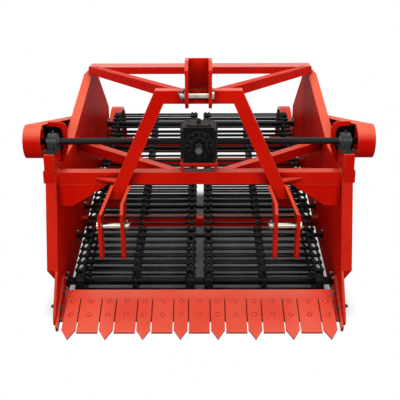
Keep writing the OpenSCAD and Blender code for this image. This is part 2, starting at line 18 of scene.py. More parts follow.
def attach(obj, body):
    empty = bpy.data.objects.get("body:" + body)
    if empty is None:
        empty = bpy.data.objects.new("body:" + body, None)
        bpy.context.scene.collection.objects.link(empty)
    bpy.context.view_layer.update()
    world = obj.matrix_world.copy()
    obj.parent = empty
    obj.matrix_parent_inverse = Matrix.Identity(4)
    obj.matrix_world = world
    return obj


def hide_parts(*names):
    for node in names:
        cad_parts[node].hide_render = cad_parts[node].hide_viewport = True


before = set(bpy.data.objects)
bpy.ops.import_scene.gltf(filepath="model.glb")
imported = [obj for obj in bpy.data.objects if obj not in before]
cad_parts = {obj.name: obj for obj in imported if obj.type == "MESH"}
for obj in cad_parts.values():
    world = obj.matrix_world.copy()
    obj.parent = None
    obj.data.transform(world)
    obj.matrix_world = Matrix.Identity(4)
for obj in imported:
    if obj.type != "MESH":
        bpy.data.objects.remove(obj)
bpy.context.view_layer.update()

log = logging.getLogger("harvester")
Array = np.ndarray
Colour = Tuple[float, float, float]
# a noise's grains a metre, octaves and weight of the finer ones
Grain = Tuple[float, float, float]
Number = Union[int, float]
Vector = Tuple[float, float, float]
Pair = Tuple[float, float]

OUT, IN = (1.0, 0.0, 0.0), (-1.0, 0.0, 0.0)
FORE, AFT = (0.0, -1.0, 0.0), (0.0, 1.0, 0.0)
UP, DOWN = (0.0, 0.0, 1.0), (0.0, 0.0, -1.0)
HANDS = (-1.0, 1.0)


class Side(Enum):
    """The two mirrored halves of the machine, with the sign of their X."""

    LEFT = -1
    RIGHT = 1

    @property
    def tag(self) -> str:
        """Ending of the names of this half's nodes and pieces."""
        return self.name.lower()


class Slot(Enum):
    """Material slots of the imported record."""

    RED = "red_paint"
    BLACK = "black_steel"
    IRON = "gearbox_iron"
    PIN = "pin_steel"


class Tone:
    """A shader value with Python's operators: each sum on it adds one Math node."""

    def __init__(self, kit: "NodeKit", socket: bpy.types.NodeSocket) -> None:
        """Wrap one output socket.

        Args:
            kit: The material's node maker.
            socket: The output that carries the value.
        """
        self.kit = kit
        self.socket = socket

    def _math(self, operation: str, first: "Feed", second: "Feed") -> "Tone":
        """Join two values by a Math node and return its result."""
        return self.kit.node("ShaderNodeMath", {"operation": operation}, {0: first, 1: second})

    def __add__(self, other: "Feed") -> "Tone":
        """self + other."""
        return self._math("ADD", self, other)

    __radd__ = __add__

    def __sub__(self, other: "Feed") -> "Tone":
        """self - other."""
        return self._math("SUBTRACT", self, other)

    def __rsub__(self, other: "Feed") -> "Tone":
        """other - self."""
        return self._math("SUBTRACT", other, self)

    def __mul__(self, other: "Feed") -> "Tone":
        """self * other."""
        return self._math("MULTIPLY", self, other)

    __rmul__ = __mul__

    def __pow__(self, other: "Feed") -> "Tone":
        """self raised to other."""
        return self._math("POWER", self, other)

    def beyond(self, middle: float, half: float) -> "Tone":
        """Distance past the band of half width round middle, 0 inside it."""
        away = self._math("ABSOLUTE", self - middle, 0.0)
        return self._math("MAXIMUM", away - half, 0.0)

    def least(self, other: "Tone") -> "Tone":
        """The lesser of two values."""
        return self._math("MINIMUM", self, other)

    def over(self, low: float, high: float) -> "Tone":
        """Rise smoothly from 0 at low to 1 at high."""
        return self.kit.node("ShaderNodeMapRange", {"interpolation_type": "SMOOTHSTEP"},
                             {0: self, 1: low, 2: high, 3: 0.0, 4: 1.0})


Feed = Union[Tone, Number, Sequence[float]]


class NodeKit:
    """Makes the nodes of one material, or of the surroundings."""

    BEVEL_SAMPLES = 4
    OPEN_SAMPLES = 6

    def __init__(self, name: str = "", tree: Optional[bpy.types.NodeTree] = None) -> None:
        """Start an empty node tree.

        Args:
            name: The new material's name.
            tree: A tree to fill in place of a new material's.
        """
        if tree is None:
            self.material = bpy.data.materials.new(name)
            self.material.use_nodes = True
            tree = self.material.node_tree
        self.tree = tree
        self.tree.nodes.clear()

    def node(self, kind: str, settings: Optional[dict] = None, inputs: Optional[dict] = None,
             output: Union[int, str] = 0) -> Tone:
        """Add one node.

        Args:
            kind: Blender's name of the node type.
            settings: Properties, set first.
            inputs: Values or links of the sockets, by number or name.
            output: The output to return, by number or name.

        Returns:
            The chosen output as a Tone.
        """
        made = self.tree.nodes.new(kind)
        for key, value in (settings or {}).items():
            setattr(made, key, value)
        for key, value in (inputs or {}).items():
            socket = made.inputs[key]
            if isinstance(value, Tone):
                self.tree.links.new(value.socket, socket)
            elif socket.type == "RGBA" and len(value) == 3:
                socket.default_value = (*value, 1.0)
            else:
                socket.default_value = value
        return Tone(self, made.outputs[output])

    def place(self) -> Tone:
        """Object coordinates, in metres in the machine's frame."""
        return self.node("ShaderNodeTexCoord", output="Object")

    def noise(self, scale: float, detail: float, rough: float, stretch: Colour = (1.0, 1.0, 1.0)) -> Tone:
        """Value noise over the object's coordinates.

        Args:
            scale: Grains a metre.
            detail: Octaves.
            rough: Weight of the finer octaves.
            stretch: Factors on X, Y and Z before the noise.

        Returns:
            The noise, about 0 to 1.
        """
        at = self.node("ShaderNodeMapping", {}, {"Vector": self.place(), "Scale": stretch})
        return self.node("ShaderNodeTexNoise", {"noise_dimensions": "3D"},
                         {"Vector": at, "Scale": scale, "Detail": detail, "Roughness": rough}, "Fac")

    def blend(self, share: Feed, first: Feed, second: Feed) -> Tone:
        """Mix two colours.

        Args:
            share: 0 for the first colour, 1 for the second.
            first: Colour or Tone.
            second: Colour or Tone.

        Returns:
            The mixed colour.
        """
        return self.node("ShaderNodeMix", {"data_type": "RGBA"}, {0: share, 6: first, 7: second}, 2)

    def facing_up(self) -> Tone:
        """Z part of the surface's normal."""
        normal = self.node("ShaderNodeNewGeometry", output="Normal")
        return self.node("ShaderNodeSeparateXYZ", {}, {0: normal}, 2)

    def edge(self, radius: float) -> Tone:
        """How far a rounded normal leans from the flat one: 0 on flats, rising on edges.

        Args:
            radius: Reach of the rounding, in metres.

        Returns:
            1 minus the cosine between the two normals.
        """
        flat = self.node("ShaderNodeNewGeometry", output="True Normal")
        return 1.0 - self.node("ShaderNodeVectorMath", {"operation": "DOT_PRODUCT"},
                               {0: flat, 1: self.rounded(radius)}, "Value")

    def rounded(self, radius: float) -> Tone:
        """The surface's normal with its edges rounded by radius."""
        return self.node("ShaderNodeBevel", {"samples": self.BEVEL_SAMPLES}, {"Radius": radius})

    def open_share(self, reach: float) -> Tone:
        """How open the place is: 1 on free faces, falling in corners and channels.

        Args:
            reach: Distance up to which neighbours count, in metres.

        Returns:
            The open share of the half sphere over the face.
        """
        settings = {"samples": self.OPEN_SAMPLES}
        return self.node("ShaderNodeAmbientOcclusion", settings, {"Distance": reach}, "AO")

    def bump(self, height: Tone, strength: float, distance: float, radius: float = 0.0) -> Tone:
        """Turn a height into a normal, over edges rounded by radius.

        Args:
            height: Height field, 0 to 1.
            strength: Share of the bump.
            distance: Height of the bump in metres.
            radius: Rounding of the edges in metres, 0 for none.

        Returns:
            The bumped normal.
        """
        inputs: Dict[str, Feed] = {"Height": height, "Strength": strength, "Distance": distance}
        if radius > 0.0:
            inputs["Normal"] = self.rounded(radius)
        return self.node("ShaderNodeBump", {}, inputs)

    def surface(self, **inputs: Feed) -> bpy.types.Material:
        """Close the material with a Principled shader.

        Args:
            **inputs: Its sockets by name, with _ for a space.

        Returns:
            The finished material.
        """
        sockets = {name.replace("_", " "): value for name, value in inputs.items()}
        self.node_output(self.node("ShaderNodeBsdfPrincipled", {}, sockets))
        return self.material

    def node_output(self, shader: Tone, kind: str = "ShaderNodeOutputMaterial") -> None:
        """Link a shader to the tree's output.

        Args:
            shader: The shader.
            kind: Type of the output node.
        """
        made = self.tree.nodes.new(kind)
        self.tree.links.new(shader.socket, made.inputs["Surface"])

    def seen(self) -> Tone:
        """1 for rays from the camera, from reflections and through glass, 0 for other light.

        Returns:
            Their sum, held to 1.
        """
        camera, glossy, glass = (self.node("ShaderNodeLightPath", output=f"Is {ray} Ray")
                                 for ray in ("Camera", "Glossy", "Transmission"))
        settings = {"operation": "ADD", "use_clamp": True}
        return self.node("ShaderNodeMath", settings, {0: camera + glossy, 1: glass})


@dataclass(frozen=True)
class RedEnamel:
    """Red enamel over sheet steel: cloudy, with orange peel and worn edges, and with painted light: a painted
    sheen on upper faces, a painted highlight on edges and painted shade in recesses.
    """

    name: str = "red_enamel"
    body: Colour = (0.64, 0.0085, 0.0022)
    deep: Colour = (0.55, 0.0050, 0.0016)
    # colour of worn edges, also a painted highlight
    edge_tone: Colour = (0.84, 0.105, 0.055)
    rough: float = 0.26
    gloss: float = 0.11
    # painted sheen: the colour that upper faces pale towards, standing in for top light and the sky's
    # reflection
    bloom: Colour = (0.80, 0.150, 0.085)
    bloom_share: float = 0.55
    bloom_from: float = 0.0
    peel: float = 0.00022
    rounding: float = 0.0028
    # painted shade: the colour that corners and recesses darken towards, and its reach
    recess: Colour = (0.17, 0.0009, 0.0006)
    recess_reach: float = 0.11
    sheen: Tuple[float, float, float, float] = (1.0, 0.80, 0.58, 1.0)
    clouds: Grain = (3.5, 3.0, 0.55)
    scuffs: Grain = (38.0, 3.0, 0.6)
    peel_fine: Grain = (260.0, 2.0, 0.45)
    peel_wide: Grain = (60.0, 1.0, 0.4)

    def material(self) -> bpy.types.Material:
        """Build the enamel's nodes.

        Returns:
            The finished material.
        """
        kit = NodeKit(self.name)
        cloud = kit.noise(*self.clouds)
        fine = kit.noise(*self.scuffs)
        # edge mask: real wear where the scuffs fall, which also carries a painted highlight in colour
        wear_and_highlight_mask = kit.edge(self.rounding * 1.6).over(0.02, 0.22) * fine.over(0.22, 0.60)
        colour = kit.blend(cloud.over(0.34, 0.70), self.body, self.deep)
        # painted sheen: upper faces paled as if lit from above, patchy with the clouds
        painted_sheen_mask = kit.facing_up().over(self.bloom_from, 0.85) * (0.72 + 0.45 * cloud) * self.bloom_share
        colour = kit.blend(painted_sheen_mask, colour, self.bloom)
        # edges lightened: wear and a painted highlight
        colour = kit.blend(wear_and_highlight_mask * 0.75, colour, self.edge_tone)
        # painted shade: corners and recesses darkened by ambient occlusion
        colour = kit.blend(kit.open_share(self.recess_reach).over(0.15, 0.85), self.recess, colour)
        peel = kit.noise(*self.peel_fine) * 0.75 + kit.noise(*self.peel_wide) * 0.25
        rough = self.rough + (cloud - 0.5) * 0.10 + wear_and_highlight_mask * 0.12 + (fine - 0.5) * 0.05
        return kit.surface(Base_Color=colour, Roughness=rough, Specular_IOR_Level=self.gloss,
                           Specular_Tint=self.sheen, Normal=kit.bump(peel, 0.35, self.peel, self.rounding))


@dataclass(frozen=True)
class SatinBlack:
    """Satin black dip paint on rods, shafts and rollers, rubbed greyer in patches."""

    name: str = "satin_black"
    body: Colour = (0.0021, 0.0020, 0.0020)
    rubbed: Colour = (0.0065, 0.0060, 0.0058)
    rough: float = 0.29
    gloss: float = 0.11
    grain: float = 0.0003
    clouds: Grain = (9.0, 4.0, 0.6)
    grains: Grain = (420.0, 3.0, 0.55)

    def material(self) -> bpy.types.Material:
        """Build the black paint's nodes.

        Returns:
            The finished material.
        """
        kit = NodeKit(self.name)
        cloud = kit.noise(*self.clouds)
        grain = kit.noise(*self.grains)
        colour = kit.blend(cloud.over(0.48, 0.74), self.body, self.rubbed)
        rough = self.rough + (cloud - 0.5) * 0.22 + (grain - 0.5) * 0.10
        return kit.surface(Base_Color=colour, Roughness=rough, Specular_IOR_Level=self.gloss,
                           Normal=kit.bump(grain, 0.30, self.grain))


@dataclass(frozen=True)
class CastIron:
    """Black-painted cast iron with a sandy skin, its upward faces browned by a painted reflection of the red
    frame and its edges paled by a painted highlight.
    """

    name: str = "cast_iron"
    body: Colour = (0.0030, 0.0025, 0.0024)
    # painted reflection: the brown that upward faces take, standing in for the red frame's reflection
    upper: Colour = (0.022, 0.0135, 0.0100)
    # painted highlight: the pale colour of the edges
    rim: Colour = (0.060, 0.056, 0.054)
    rough: float = 0.46
    gloss: float = 0.05
    grain: float = 0.0008
    rounding: float = 0.003
    rim_reach: float = 0.004
    clouds: Grain = (14.0, 4.0, 0.6)
    grains: Grain = (300.0, 4.0, 0.65)

    def material(self) -> bpy.types.Material:
        """Build the casting's nodes.

        Returns:
            The finished material.
        """
        kit = NodeKit(self.name)
        cloud = kit.noise(*self.clouds)
        sand = kit.noise(*self.grains)
        # painted reflection on upward faces, in patches
        up = kit.facing_up().over(0.35, 0.9) * cloud.over(0.25, 0.65)
        colour = kit.blend(up, self.body, self.upper)
        # painted highlight on edges
        colour = kit.blend(kit.edge(self.rim_reach).over(0.01, 0.16), colour, self.rim)
        rough = self.rough + (cloud - 0.5) * 0.2 + (sand - 0.5) * 0.12
        return kit.surface(Base_Color=colour, Roughness=rough, Specular_IOR_Level=self.gloss,
                           Normal=kit.bump(sand, 0.45, self.grain, self.rounding))


@dataclass(frozen=True)
class BearingPaint:
    """Grey-green hammered paint of the bearing housings."""

    name: str = "bearing_paint"
    body: Colour = (0.020, 0.029, 0.026)
    deep: Colour = (0.009, 0.013, 0.012)
    rough: float = 0.38
    gloss: float = 0.2
    grain: float = 0.0006
    rounding: float = 0.002
    clouds: Grain = (26.0, 4.0, 0.6)
    grains: Grain = (350.0, 3.0, 0.6)

    def material(self) -> bpy.types.Material:
        """Build the housing paint's nodes.

        Returns:
            The finished material.
        """
        kit = NodeKit(self.name)
        cloud = kit.noise(*self.clouds)
        sand = kit.noise(*self.grains)
        colour = kit.blend(cloud.over(0.3, 0.7), self.body, self.deep)
        rough = self.rough + (cloud - 0.5) * 0.2
        return kit.surface(Base_Color=colour, Roughness=rough, Specular_IOR_Level=self.gloss,
                           Normal=kit.bump(sand, 0.35, self.grain, self.rounding))


@dataclass(frozen=True)
class BareSteel:
    """Turned and zinc-dulled steel of pins, shafts and fasteners."""

    name: str = "bare_steel"
    body: Colour = (0.52, 0.50, 0.46)
    dull: Colour = (0.30, 0.285, 0.26)
    rough: float = 0.34
    marks: float = 420.0
    grain: float = 0.0003
    rounding: float = 0.001
    clouds: Grain = (30.0, 4.0, 0.6)

    def material(self) -> bpy.types.Material:
        """Build the bare metal's nodes.

        Returns:
            The finished material.
        """
        kit = NodeKit(self.name)
        cloud = kit.noise(*self.clouds)
        lines = kit.noise(1.0, 2.0, 0.5, (self.marks,) * 3)
        colour = kit.blend(cloud.over(0.35, 0.7), self.body, self.dull)
        rough = self.rough + (cloud - 0.5) * 0.25 + (lines - 0.5) * 0.10
        return kit.surface(Base_Color=colour, Roughness=rough, Metallic=1.0,
                           Normal=kit.bump(lines, 0.20, self.grain, self.rounding))


class Finishes:
    """All finishes of the machine, made once."""

    def __init__(self) -> None:
        """Make each finish's material."""
        # each enamel pales its upper faces with a painted sheen, lightens its edges with a painted highlight
        # and darkens its corners with painted shade
        self.red = RedEnamel(gloss=0.045, bloom=(0.82, 0.125, 0.066)).material()
        self.gloss = RedEnamel("gloss_enamel").material()
        self.tube = RedEnamel("tube_enamel", rough=0.46, gloss=0.006, bloom_share=0.30).material()
        self.plate = RedEnamel("plate_enamel", rough=0.46, gloss=0.008, bloom=(0.88, 0.195, 0.112),
                               bloom_share=0.70, bloom_from=0.16).material()
        self.seam = RedEnamel("seam_enamel", (0.36, 0.008, 0.004), (0.30, 0.006, 0.003), (0.38, 0.014, 0.007),
                              0.5, 0.02, (0.36, 0.016, 0.008), 0.5).material()
        self.share = RedEnamel("share_enamel", (0.68, 0.016, 0.0045), (0.60, 0.011, 0.0032),
                               (0.74, 0.10, 0.06), 0.24, 0.22, (0.80, 0.085, 0.045), 0.80).material()
        self.black = SatinBlack().material()
        self.iron = CastIron().material()
        self.bearing = BearingPaint().material()
        self.pin = BareSteel("pin_steel", (0.40, 0.37, 0.32), (0.31, 0.28, 0.24), 0.24).material()
        self.bolt = BareSteel("bolt_steel", (0.24, 0.225, 0.20), (0.12, 0.11, 0.098), 0.40).material()
        self.shaft = BareSteel("shaft_steel", (0.105, 0.10, 0.094), (0.05, 0.047, 0.043), 0.32).material()
        self.chain = BareSteel("chain_steel", (0.16, 0.155, 0.15), (0.07, 0.068, 0.065), 0.36).material()
        self.red_bolt = RedEnamel("bolt_enamel", (0.60, 0.02, 0.009), (0.5, 0.012, 0.005), (0.68, 0.08, 0.04),
                                  0.33).material()


@dataclass
class Shape:
    """Points and four-cornered or three-cornered faces of one or more surfaces."""

    points: Array
    faces: Array

    @staticmethod
    def joined(parts: Sequence["Shape"]) -> "Shape":
        """Put several shapes into one, with their faces renumbered.

        Args:
            parts: The shapes, in order.

        Returns:
            One shape with all their points and faces.
        """
        starts = np.cumsum([0] + [len(p.points) for p in parts[:-1]])
        faces = [np.where(p.faces < 0, -1, p.faces + s) for p, s in zip(parts, starts)]
        return Shape(np.concatenate([p.points for p in parts]), np.concatenate(faces))

    def repeated(self, turns: Array, moves: Array) -> "Shape":
        """Copy the shape to many places: point times turn, plus move.

        Args:
            turns: (n, 3, 3) matrices whose columns are the images of the axes.
            moves: (n, 3) places.

        Returns:
            One shape with n copies.
        """
        points = np.einsum("nij,pj->npi", turns, self.points) + moves[:, None, :]
        shift = (np.arange(len(moves)) * len(self.points))[:, None, None]
        faces = np.where(self.faces[None] < 0, -1, self.faces[None] + shift)
        return Shape(points.reshape(-1, 3), faces.reshape(-1, 4))

    def at(self, places: Array, turn: Optional[Array] = None) -> "Shape":
        """Copy the shape to places that share one turn.

        Args:
            places: One point, or (n, 3) points.
            turn: The turn's matrix, none if left out.

        Returns:
            One shape with a copy at each place.
        """
        moves = np.atleast_2d(np.asarray(places, float))
        turn = np.eye(3) if turn is None else turn
        return self.repeated(np.broadcast_to(turn, (len(moves), 3, 3)), moves)

    def mirrored(self, side: Side) -> "Shape":
        """The shape on the given half: on the left X changes sign and the faces turn round.

        Args:
            side: The half to go to.

        Returns:
            The shape itself on the right, its mirror image on the left.
        """
        if side is Side.RIGHT:
            return self
        return Shape(self.points * np.array([-1.0, 1.0, 1.0]), self.flipped().faces)

    def flipped(self) -> "Shape":
        """The same surface with its faces turned round."""
        quads = self.faces[:, 3:] >= 0
        return Shape(self.points, np.where(quads, self.faces[:, ::-1], self.faces[:, [2, 1, 0, 3]]))


class Forms:
    """Surfaces worked out as whole arrays."""

    BOLT_POINTS = 24
    # a bolt's crown, washer, washer's height and thread, in shares of half the width across flats
    CROWN, WASHER, WASHER_HEIGHT, THREAD = 1.04, 1.42, 0.22, 0.58

    @staticmethod
    def grid_faces(rows: int, columns: int, close_u: bool, close_v: bool) -> Array:
        """Faces of a grid of rows by columns points, joined at its ends where told.

        Args:
            rows: Number of rows.
            columns: Points in each row.
            close_u: Whether the last row joins the first.
            close_v: Whether each row's end joins its start.

        Returns:
            (n, 4) numbers of the faces' corners.
        """
        i = np.arange(rows if close_u else rows - 1)
        j = np.arange(columns if close_v else columns - 1)
        a, b = np.meshgrid(i, j, indexing="ij")
        up, right = (a + 1) % rows, (b + 1) % columns
        quad = np.stack([a * columns + b, a * columns + right, up * columns + right, up * columns + b], -1)
        return quad.reshape(-1, 4)

    @staticmethod
    def capped(rings: Array, ends: Array) -> Shape:
        """Close a stack of rings: faces between the rings and a fan from each end's middle.

        Args:
            rings: (n, m, 3) points.
            ends: (2, 3) middles of the first and the last ring.

        Returns:
            The closed surface.
        """
        rows, count = rings.shape[:2]
        n, k = rows * count, np.arange(count)
        after, none = (k + 1) % count, np.full(count, -1)
        low = np.stack([np.full(count, n), after, k, none], 1)
        high = np.stack([np.full(count, n + 1), k + n - count, after + n - count, none], 1)
        faces = np.concatenate([Forms.grid_faces(rows, count, False, True), low, high])
        return Shape(np.concatenate([rings.reshape(-1, 3), ends]), faces)

    @staticmethod
    def angles(count: int) -> Array:
        """Even angles of one full turn."""
        return np.arange(count) * 2 * np.pi / count

    @staticmethod
    def spun(radius: Array, height: Array, turn: Array) -> Array:
        """Points round Z: (radius cos turn, radius sin turn, height), over the arrays' common shape."""
        r, z, t = np.broadcast_arrays(radius, height, turn)
        return np.stack([r * np.cos(t), r * np.sin(t), z], -1)

    @staticmethod
    def swept(path: Array, profile: Array, normal: Vector) -> Shape:
        """Carry a closed profile along a path: its point plus x along the side and y along the normal.

        Args:
            path: (n, 3) points.
            profile: (m, 2) points, anticlockwise.
            normal: Direction of the profile's second axis, made square to the path.

        Returns:
            The closed surface.
        """
        run = np.gradient(path, axis=0)
        run /= np.linalg.norm(run, axis=1, keepdims=True)
        up = np.broadcast_to(np.asarray(normal, float), path.shape)
        up = up - (up * run).sum(1, keepdims=True) * run
        up = up / np.linalg.norm(up, axis=1, keepdims=True)
        across = np.cross(up, run)
        rings = path[:, None] + profile[:, :1] * across[:, None] + profile[:, 1:] * up[:, None]
        return Forms.capped(rings, path[[0, -1]])

    @staticmethod
    def circle(radius: float, count: int) -> Array:
        """Points of a circle, anticlockwise."""
        return Forms.spun(radius, 0.0, Forms.angles(count))[:, :2]

    @staticmethod
    def turned(profile: Sequence[Pair], count: int) -> Shape:
        """Turn a profile of (radius, height) round Z; it starts and ends on the axis, bottom to top.

        The point at angle t of profile point (r, h) is (r cos t, r sin t, h); the two ends are single points.

        Args:
            profile: The (radius, height) points.
            count: Points round the axis.

        Returns:
            The closed surface.
        """
        rows = np.asarray(profile, float)
        rings = Forms.spun(rows[1:-1, :1], rows[1:-1, 1:], Forms.angles(count))
        return Forms.capped(rings, Forms.spun(0.0, rows[[0, -1], 1], 0.0))

    @staticmethod
    def ring(profile: Array, count: int) -> Shape:
        """Turn a closed profile of (radius, height), anticlockwise, round Z into a closed ring.

        Args:
            profile: (m, 2) points, or (count, m, 2) with one profile for each angle.
            count: Number of angles.

        Returns:
            The closed surface.
        """
        rows = np.asarray(profile, float)
        points = Forms.spun(rows[..., 0], rows[..., 1], Forms.angles(count)[:, None])
        return Shape(points.reshape(-1, 3), Forms.grid_faces(count, rows.shape[-2], True, True)[:, ::-1])

    @staticmethod
    def hex_bolt(size: float, height: float, stub: float = 0.0) -> Shape:
        """A bolt head on Z = 0, pointing up: washer, six flats with a turned crown, and the thread's end.

        The head's radius at angle t is size over the cosine of t folded to a sixth of a turn, held to
        the crown's circle near the top.

        Args:
            size: Half the width across flats.
            height: Height of the head over the washer.
            stub: Height of the thread's end over the head, 0 for a plain head.

        Returns:
            The closed surface.
        """
        count = Forms.BOLT_POINTS
        turn = Forms.angles(count)
        fold = np.abs((turn + np.pi / 6) % (np.pi / 3) - np.pi / 6)
        flats = size / np.cos(fold)
        crown = np.minimum(flats, size * Forms.CROWN)
        washer = np.full(count, size * Forms.WASHER)
        thick = size * Forms.WASHER_HEIGHT
        top = thick + height
        rows = [(washer * 0.97, 0.0), (washer, thick * 0.25), (washer, thick * 0.8), (washer * 0.97, thick),
                (flats, thick), (flats, thick + height * 0.82), (crown, top), (crown * 0.9, top)]
        if stub > 0.0:
            screw = np.full(count, size * Forms.THREAD)
            rows += [(screw, top), (screw, top + stub * 0.85), (screw * 0.82, top + stub)]
        rings = np.stack([Forms.spun(r, z, turn) for r, z in rows])
        return Forms.capped(rings, Forms.spun(0.0, np.array([0.0, rows[-1][1]]), 0.0))

    @staticmethod
    def bead(start: Vector, end: Vector, first: Vector, second: Vector, size: float) -> Shape:
        """A weld bead in the corner of two faces: a quarter round whose crest ripples along the seam.

        Its radius at distance s is size times (1 + 0.16 |sin(1.1 s / size)|), falling to half at
        the ends.

        Args:
            start: First point of the seam.
            end: Last point.
            first: Direction away from the seam along one face.
            second: Direction away from the seam along the other face.
            size: Leg of the bead.

        Returns:
            The closed surface.
        """
        a, b = np.asarray(start, float), np.asarray(end, float)
        u, v = np.asarray(first, float), np.asarray(second, float)
        reach = float(np.linalg.norm(b - a))
        count = max(8, min(240, int(reach / (size * 0.45))))
        s = np.linspace(0.0, 1.0, count)
        tip = np.clip(np.minimum(s, 1 - s) * reach / size, 0.0, 1.0)
        leg = size * (1.0 + 0.16 * np.abs(np.sin(s * reach / size * 1.1))) * (0.5 + 0.5 * np.sqrt(tip))
        sink = -0.12
        lean = np.array([[sink, sink], [1.0, sink], [0.86, 0.40], [0.62, 0.62], [0.40, 0.86], [sink, 1.0]])
        fan = lean[None, :, :1] * u + lean[None, :, 1:] * v
        points = a + s[:, None, None] * (b - a) + leg[:, None, None] * fan
        shape = Forms.capped(points, points[[0, -1]].mean(1))
        if np.dot(np.cross(b - a, u), v) > 0.0:
            return shape
        return shape.flipped()

    @staticmethod
    def plate(outline: Sequence[Sequence[float]], thick: float, cut: float) -> Shape:
        """A flat plate from Z = 0 to thick with chamfered edges.

        Its rings are the outline, drawn in by cut towards the middle at both faces; each face is a fan.

        Args:
            outline: (n, 2) corners, anticlockwise, seen whole from their middle.
            thick: Thickness.
            cut: Chamfer.

        Returns:
            The closed surface.
        """
        edge = np.asarray(outline, float)
        middle = edge.mean(0)
        away = edge - middle
        drawn = edge - away / np.linalg.norm(away, axis=1, keepdims=True) * cut * 1.4
        levels = [(drawn, 0.0), (edge, cut), (edge, thick - cut), (drawn, thick)]
        rings = np.stack([np.concatenate([ring, np.full((len(ring), 1), z)], 1) for ring, z in levels])
        return Forms.capped(rings, np.array([[*middle, 0.0], [*middle, thick]]))

    @staticmethod
    def across(outward: float = 1.0) -> Array:
        """Matrix that turns Z outwards along X, with X kept along Y."""
        return Forms.facing((outward, 0.0, 0.0), AFT)

    @staticmethod
    def facing(direction: Sequence[float], aside: Vector = OUT) -> Array:
        """Matrix that turns Z to direction, with X kept near aside.

        Args:
            direction: Where Z goes.
            aside: What X stays near.

        Returns:
            The (3, 3) matrix.
        """
        z = np.asarray(direction, float)
        z = z / np.linalg.norm(z)
        x = np.asarray(aside, float)
        x = x - (x @ z) * z
        x = x / np.linalg.norm(x)
        return np.stack([x, np.cross(z, x), z], 1)


class Smooth(Enum):
    """How a piece is shaded: smooth up to an angle between faces, in degrees."""

    EDGES = 35
    ROUND = 60


class Workshop:
    """Puts shapes into the scene as pieces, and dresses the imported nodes."""

    def __init__(self, finishes: Finishes) -> None:
        """Keep the finishes.

        Args:
            finishes: The machine's finishes.
        """
        self.finishes = finishes

    def dress(self, names: Sequence[str], material: bpy.types.Material) -> None:
        """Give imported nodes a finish.

        Args:
            names: The nodes.
            material: Their finish.
        """
        for name in names:
            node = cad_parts[name]
            node.data.materials.clear()
            node.data.materials.append(material)

    def piece(self, name: str, shape: Shape, material: bpy.types.Material, slot: Slot, body: str = "frame",
              smooth: Smooth = Smooth.EDGES, replaces: Sequence[str] = ()) -> None:
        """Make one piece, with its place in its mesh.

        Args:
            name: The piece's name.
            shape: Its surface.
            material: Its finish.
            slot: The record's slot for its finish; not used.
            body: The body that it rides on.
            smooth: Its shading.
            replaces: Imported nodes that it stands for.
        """
        mesh = bpy.data.meshes.new(name)
        sizes = np.where(shape.faces[:, 3] < 0, 3, 4)
        loops = shape.faces.ravel()
        loops = loops[loops >= 0].astype(np.int32)
        mesh.vertices.add(len(shape.points))
        mesh.vertices.foreach_set("co", shape.points.astype(np.float32).ravel())
        mesh.loops.add(len(loops))
        mesh.loops.foreach_set("vertex_index", loops)
        mesh.polygons.add(len(sizes))
        mesh.polygons.foreach_set("loop_start", (np.cumsum(sizes) - sizes).astype(np.int32))
        mesh.update(calc_edges=True)
        mesh.validate()
        mesh.materials.append(material)
        mesh.shade_smooth()
        mesh.set_sharp_from_angle(angle=math.radians(smooth.value))
        made = bpy.data.objects.new(name, mesh)
        bpy.context.scene.collection.objects.link(made)
        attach(made, body)
        if replaces:
            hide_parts(*replaces)
        log.info("%s: %d faces", name, len(sizes))

    def half(self, name: str, side: Side, shape: Shape, *rest: object, **more: object) -> None:
        """Make one half's piece from the right half's shape.

        Args:
            name: Its name without the half's ending.
            side: The half.
            shape: The surface on the right half.
            *rest: As for piece.
            **more: As for piece.
        """
        self.piece(f"{name}_{side.tag}", shape.mirrored(side), *rest, **more)

    def pairs(self, *rows: Sequence[object]) -> None:
        """Make the pieces of both halves from the right half's shapes, one half after the other.

        Args:
            *rows: A name without the half's ending, a shape, and the rest in piece's order.
        """
        for side in Side:
            for name, shape, *rest in rows:
                self.half(name, side, shape, *rest)


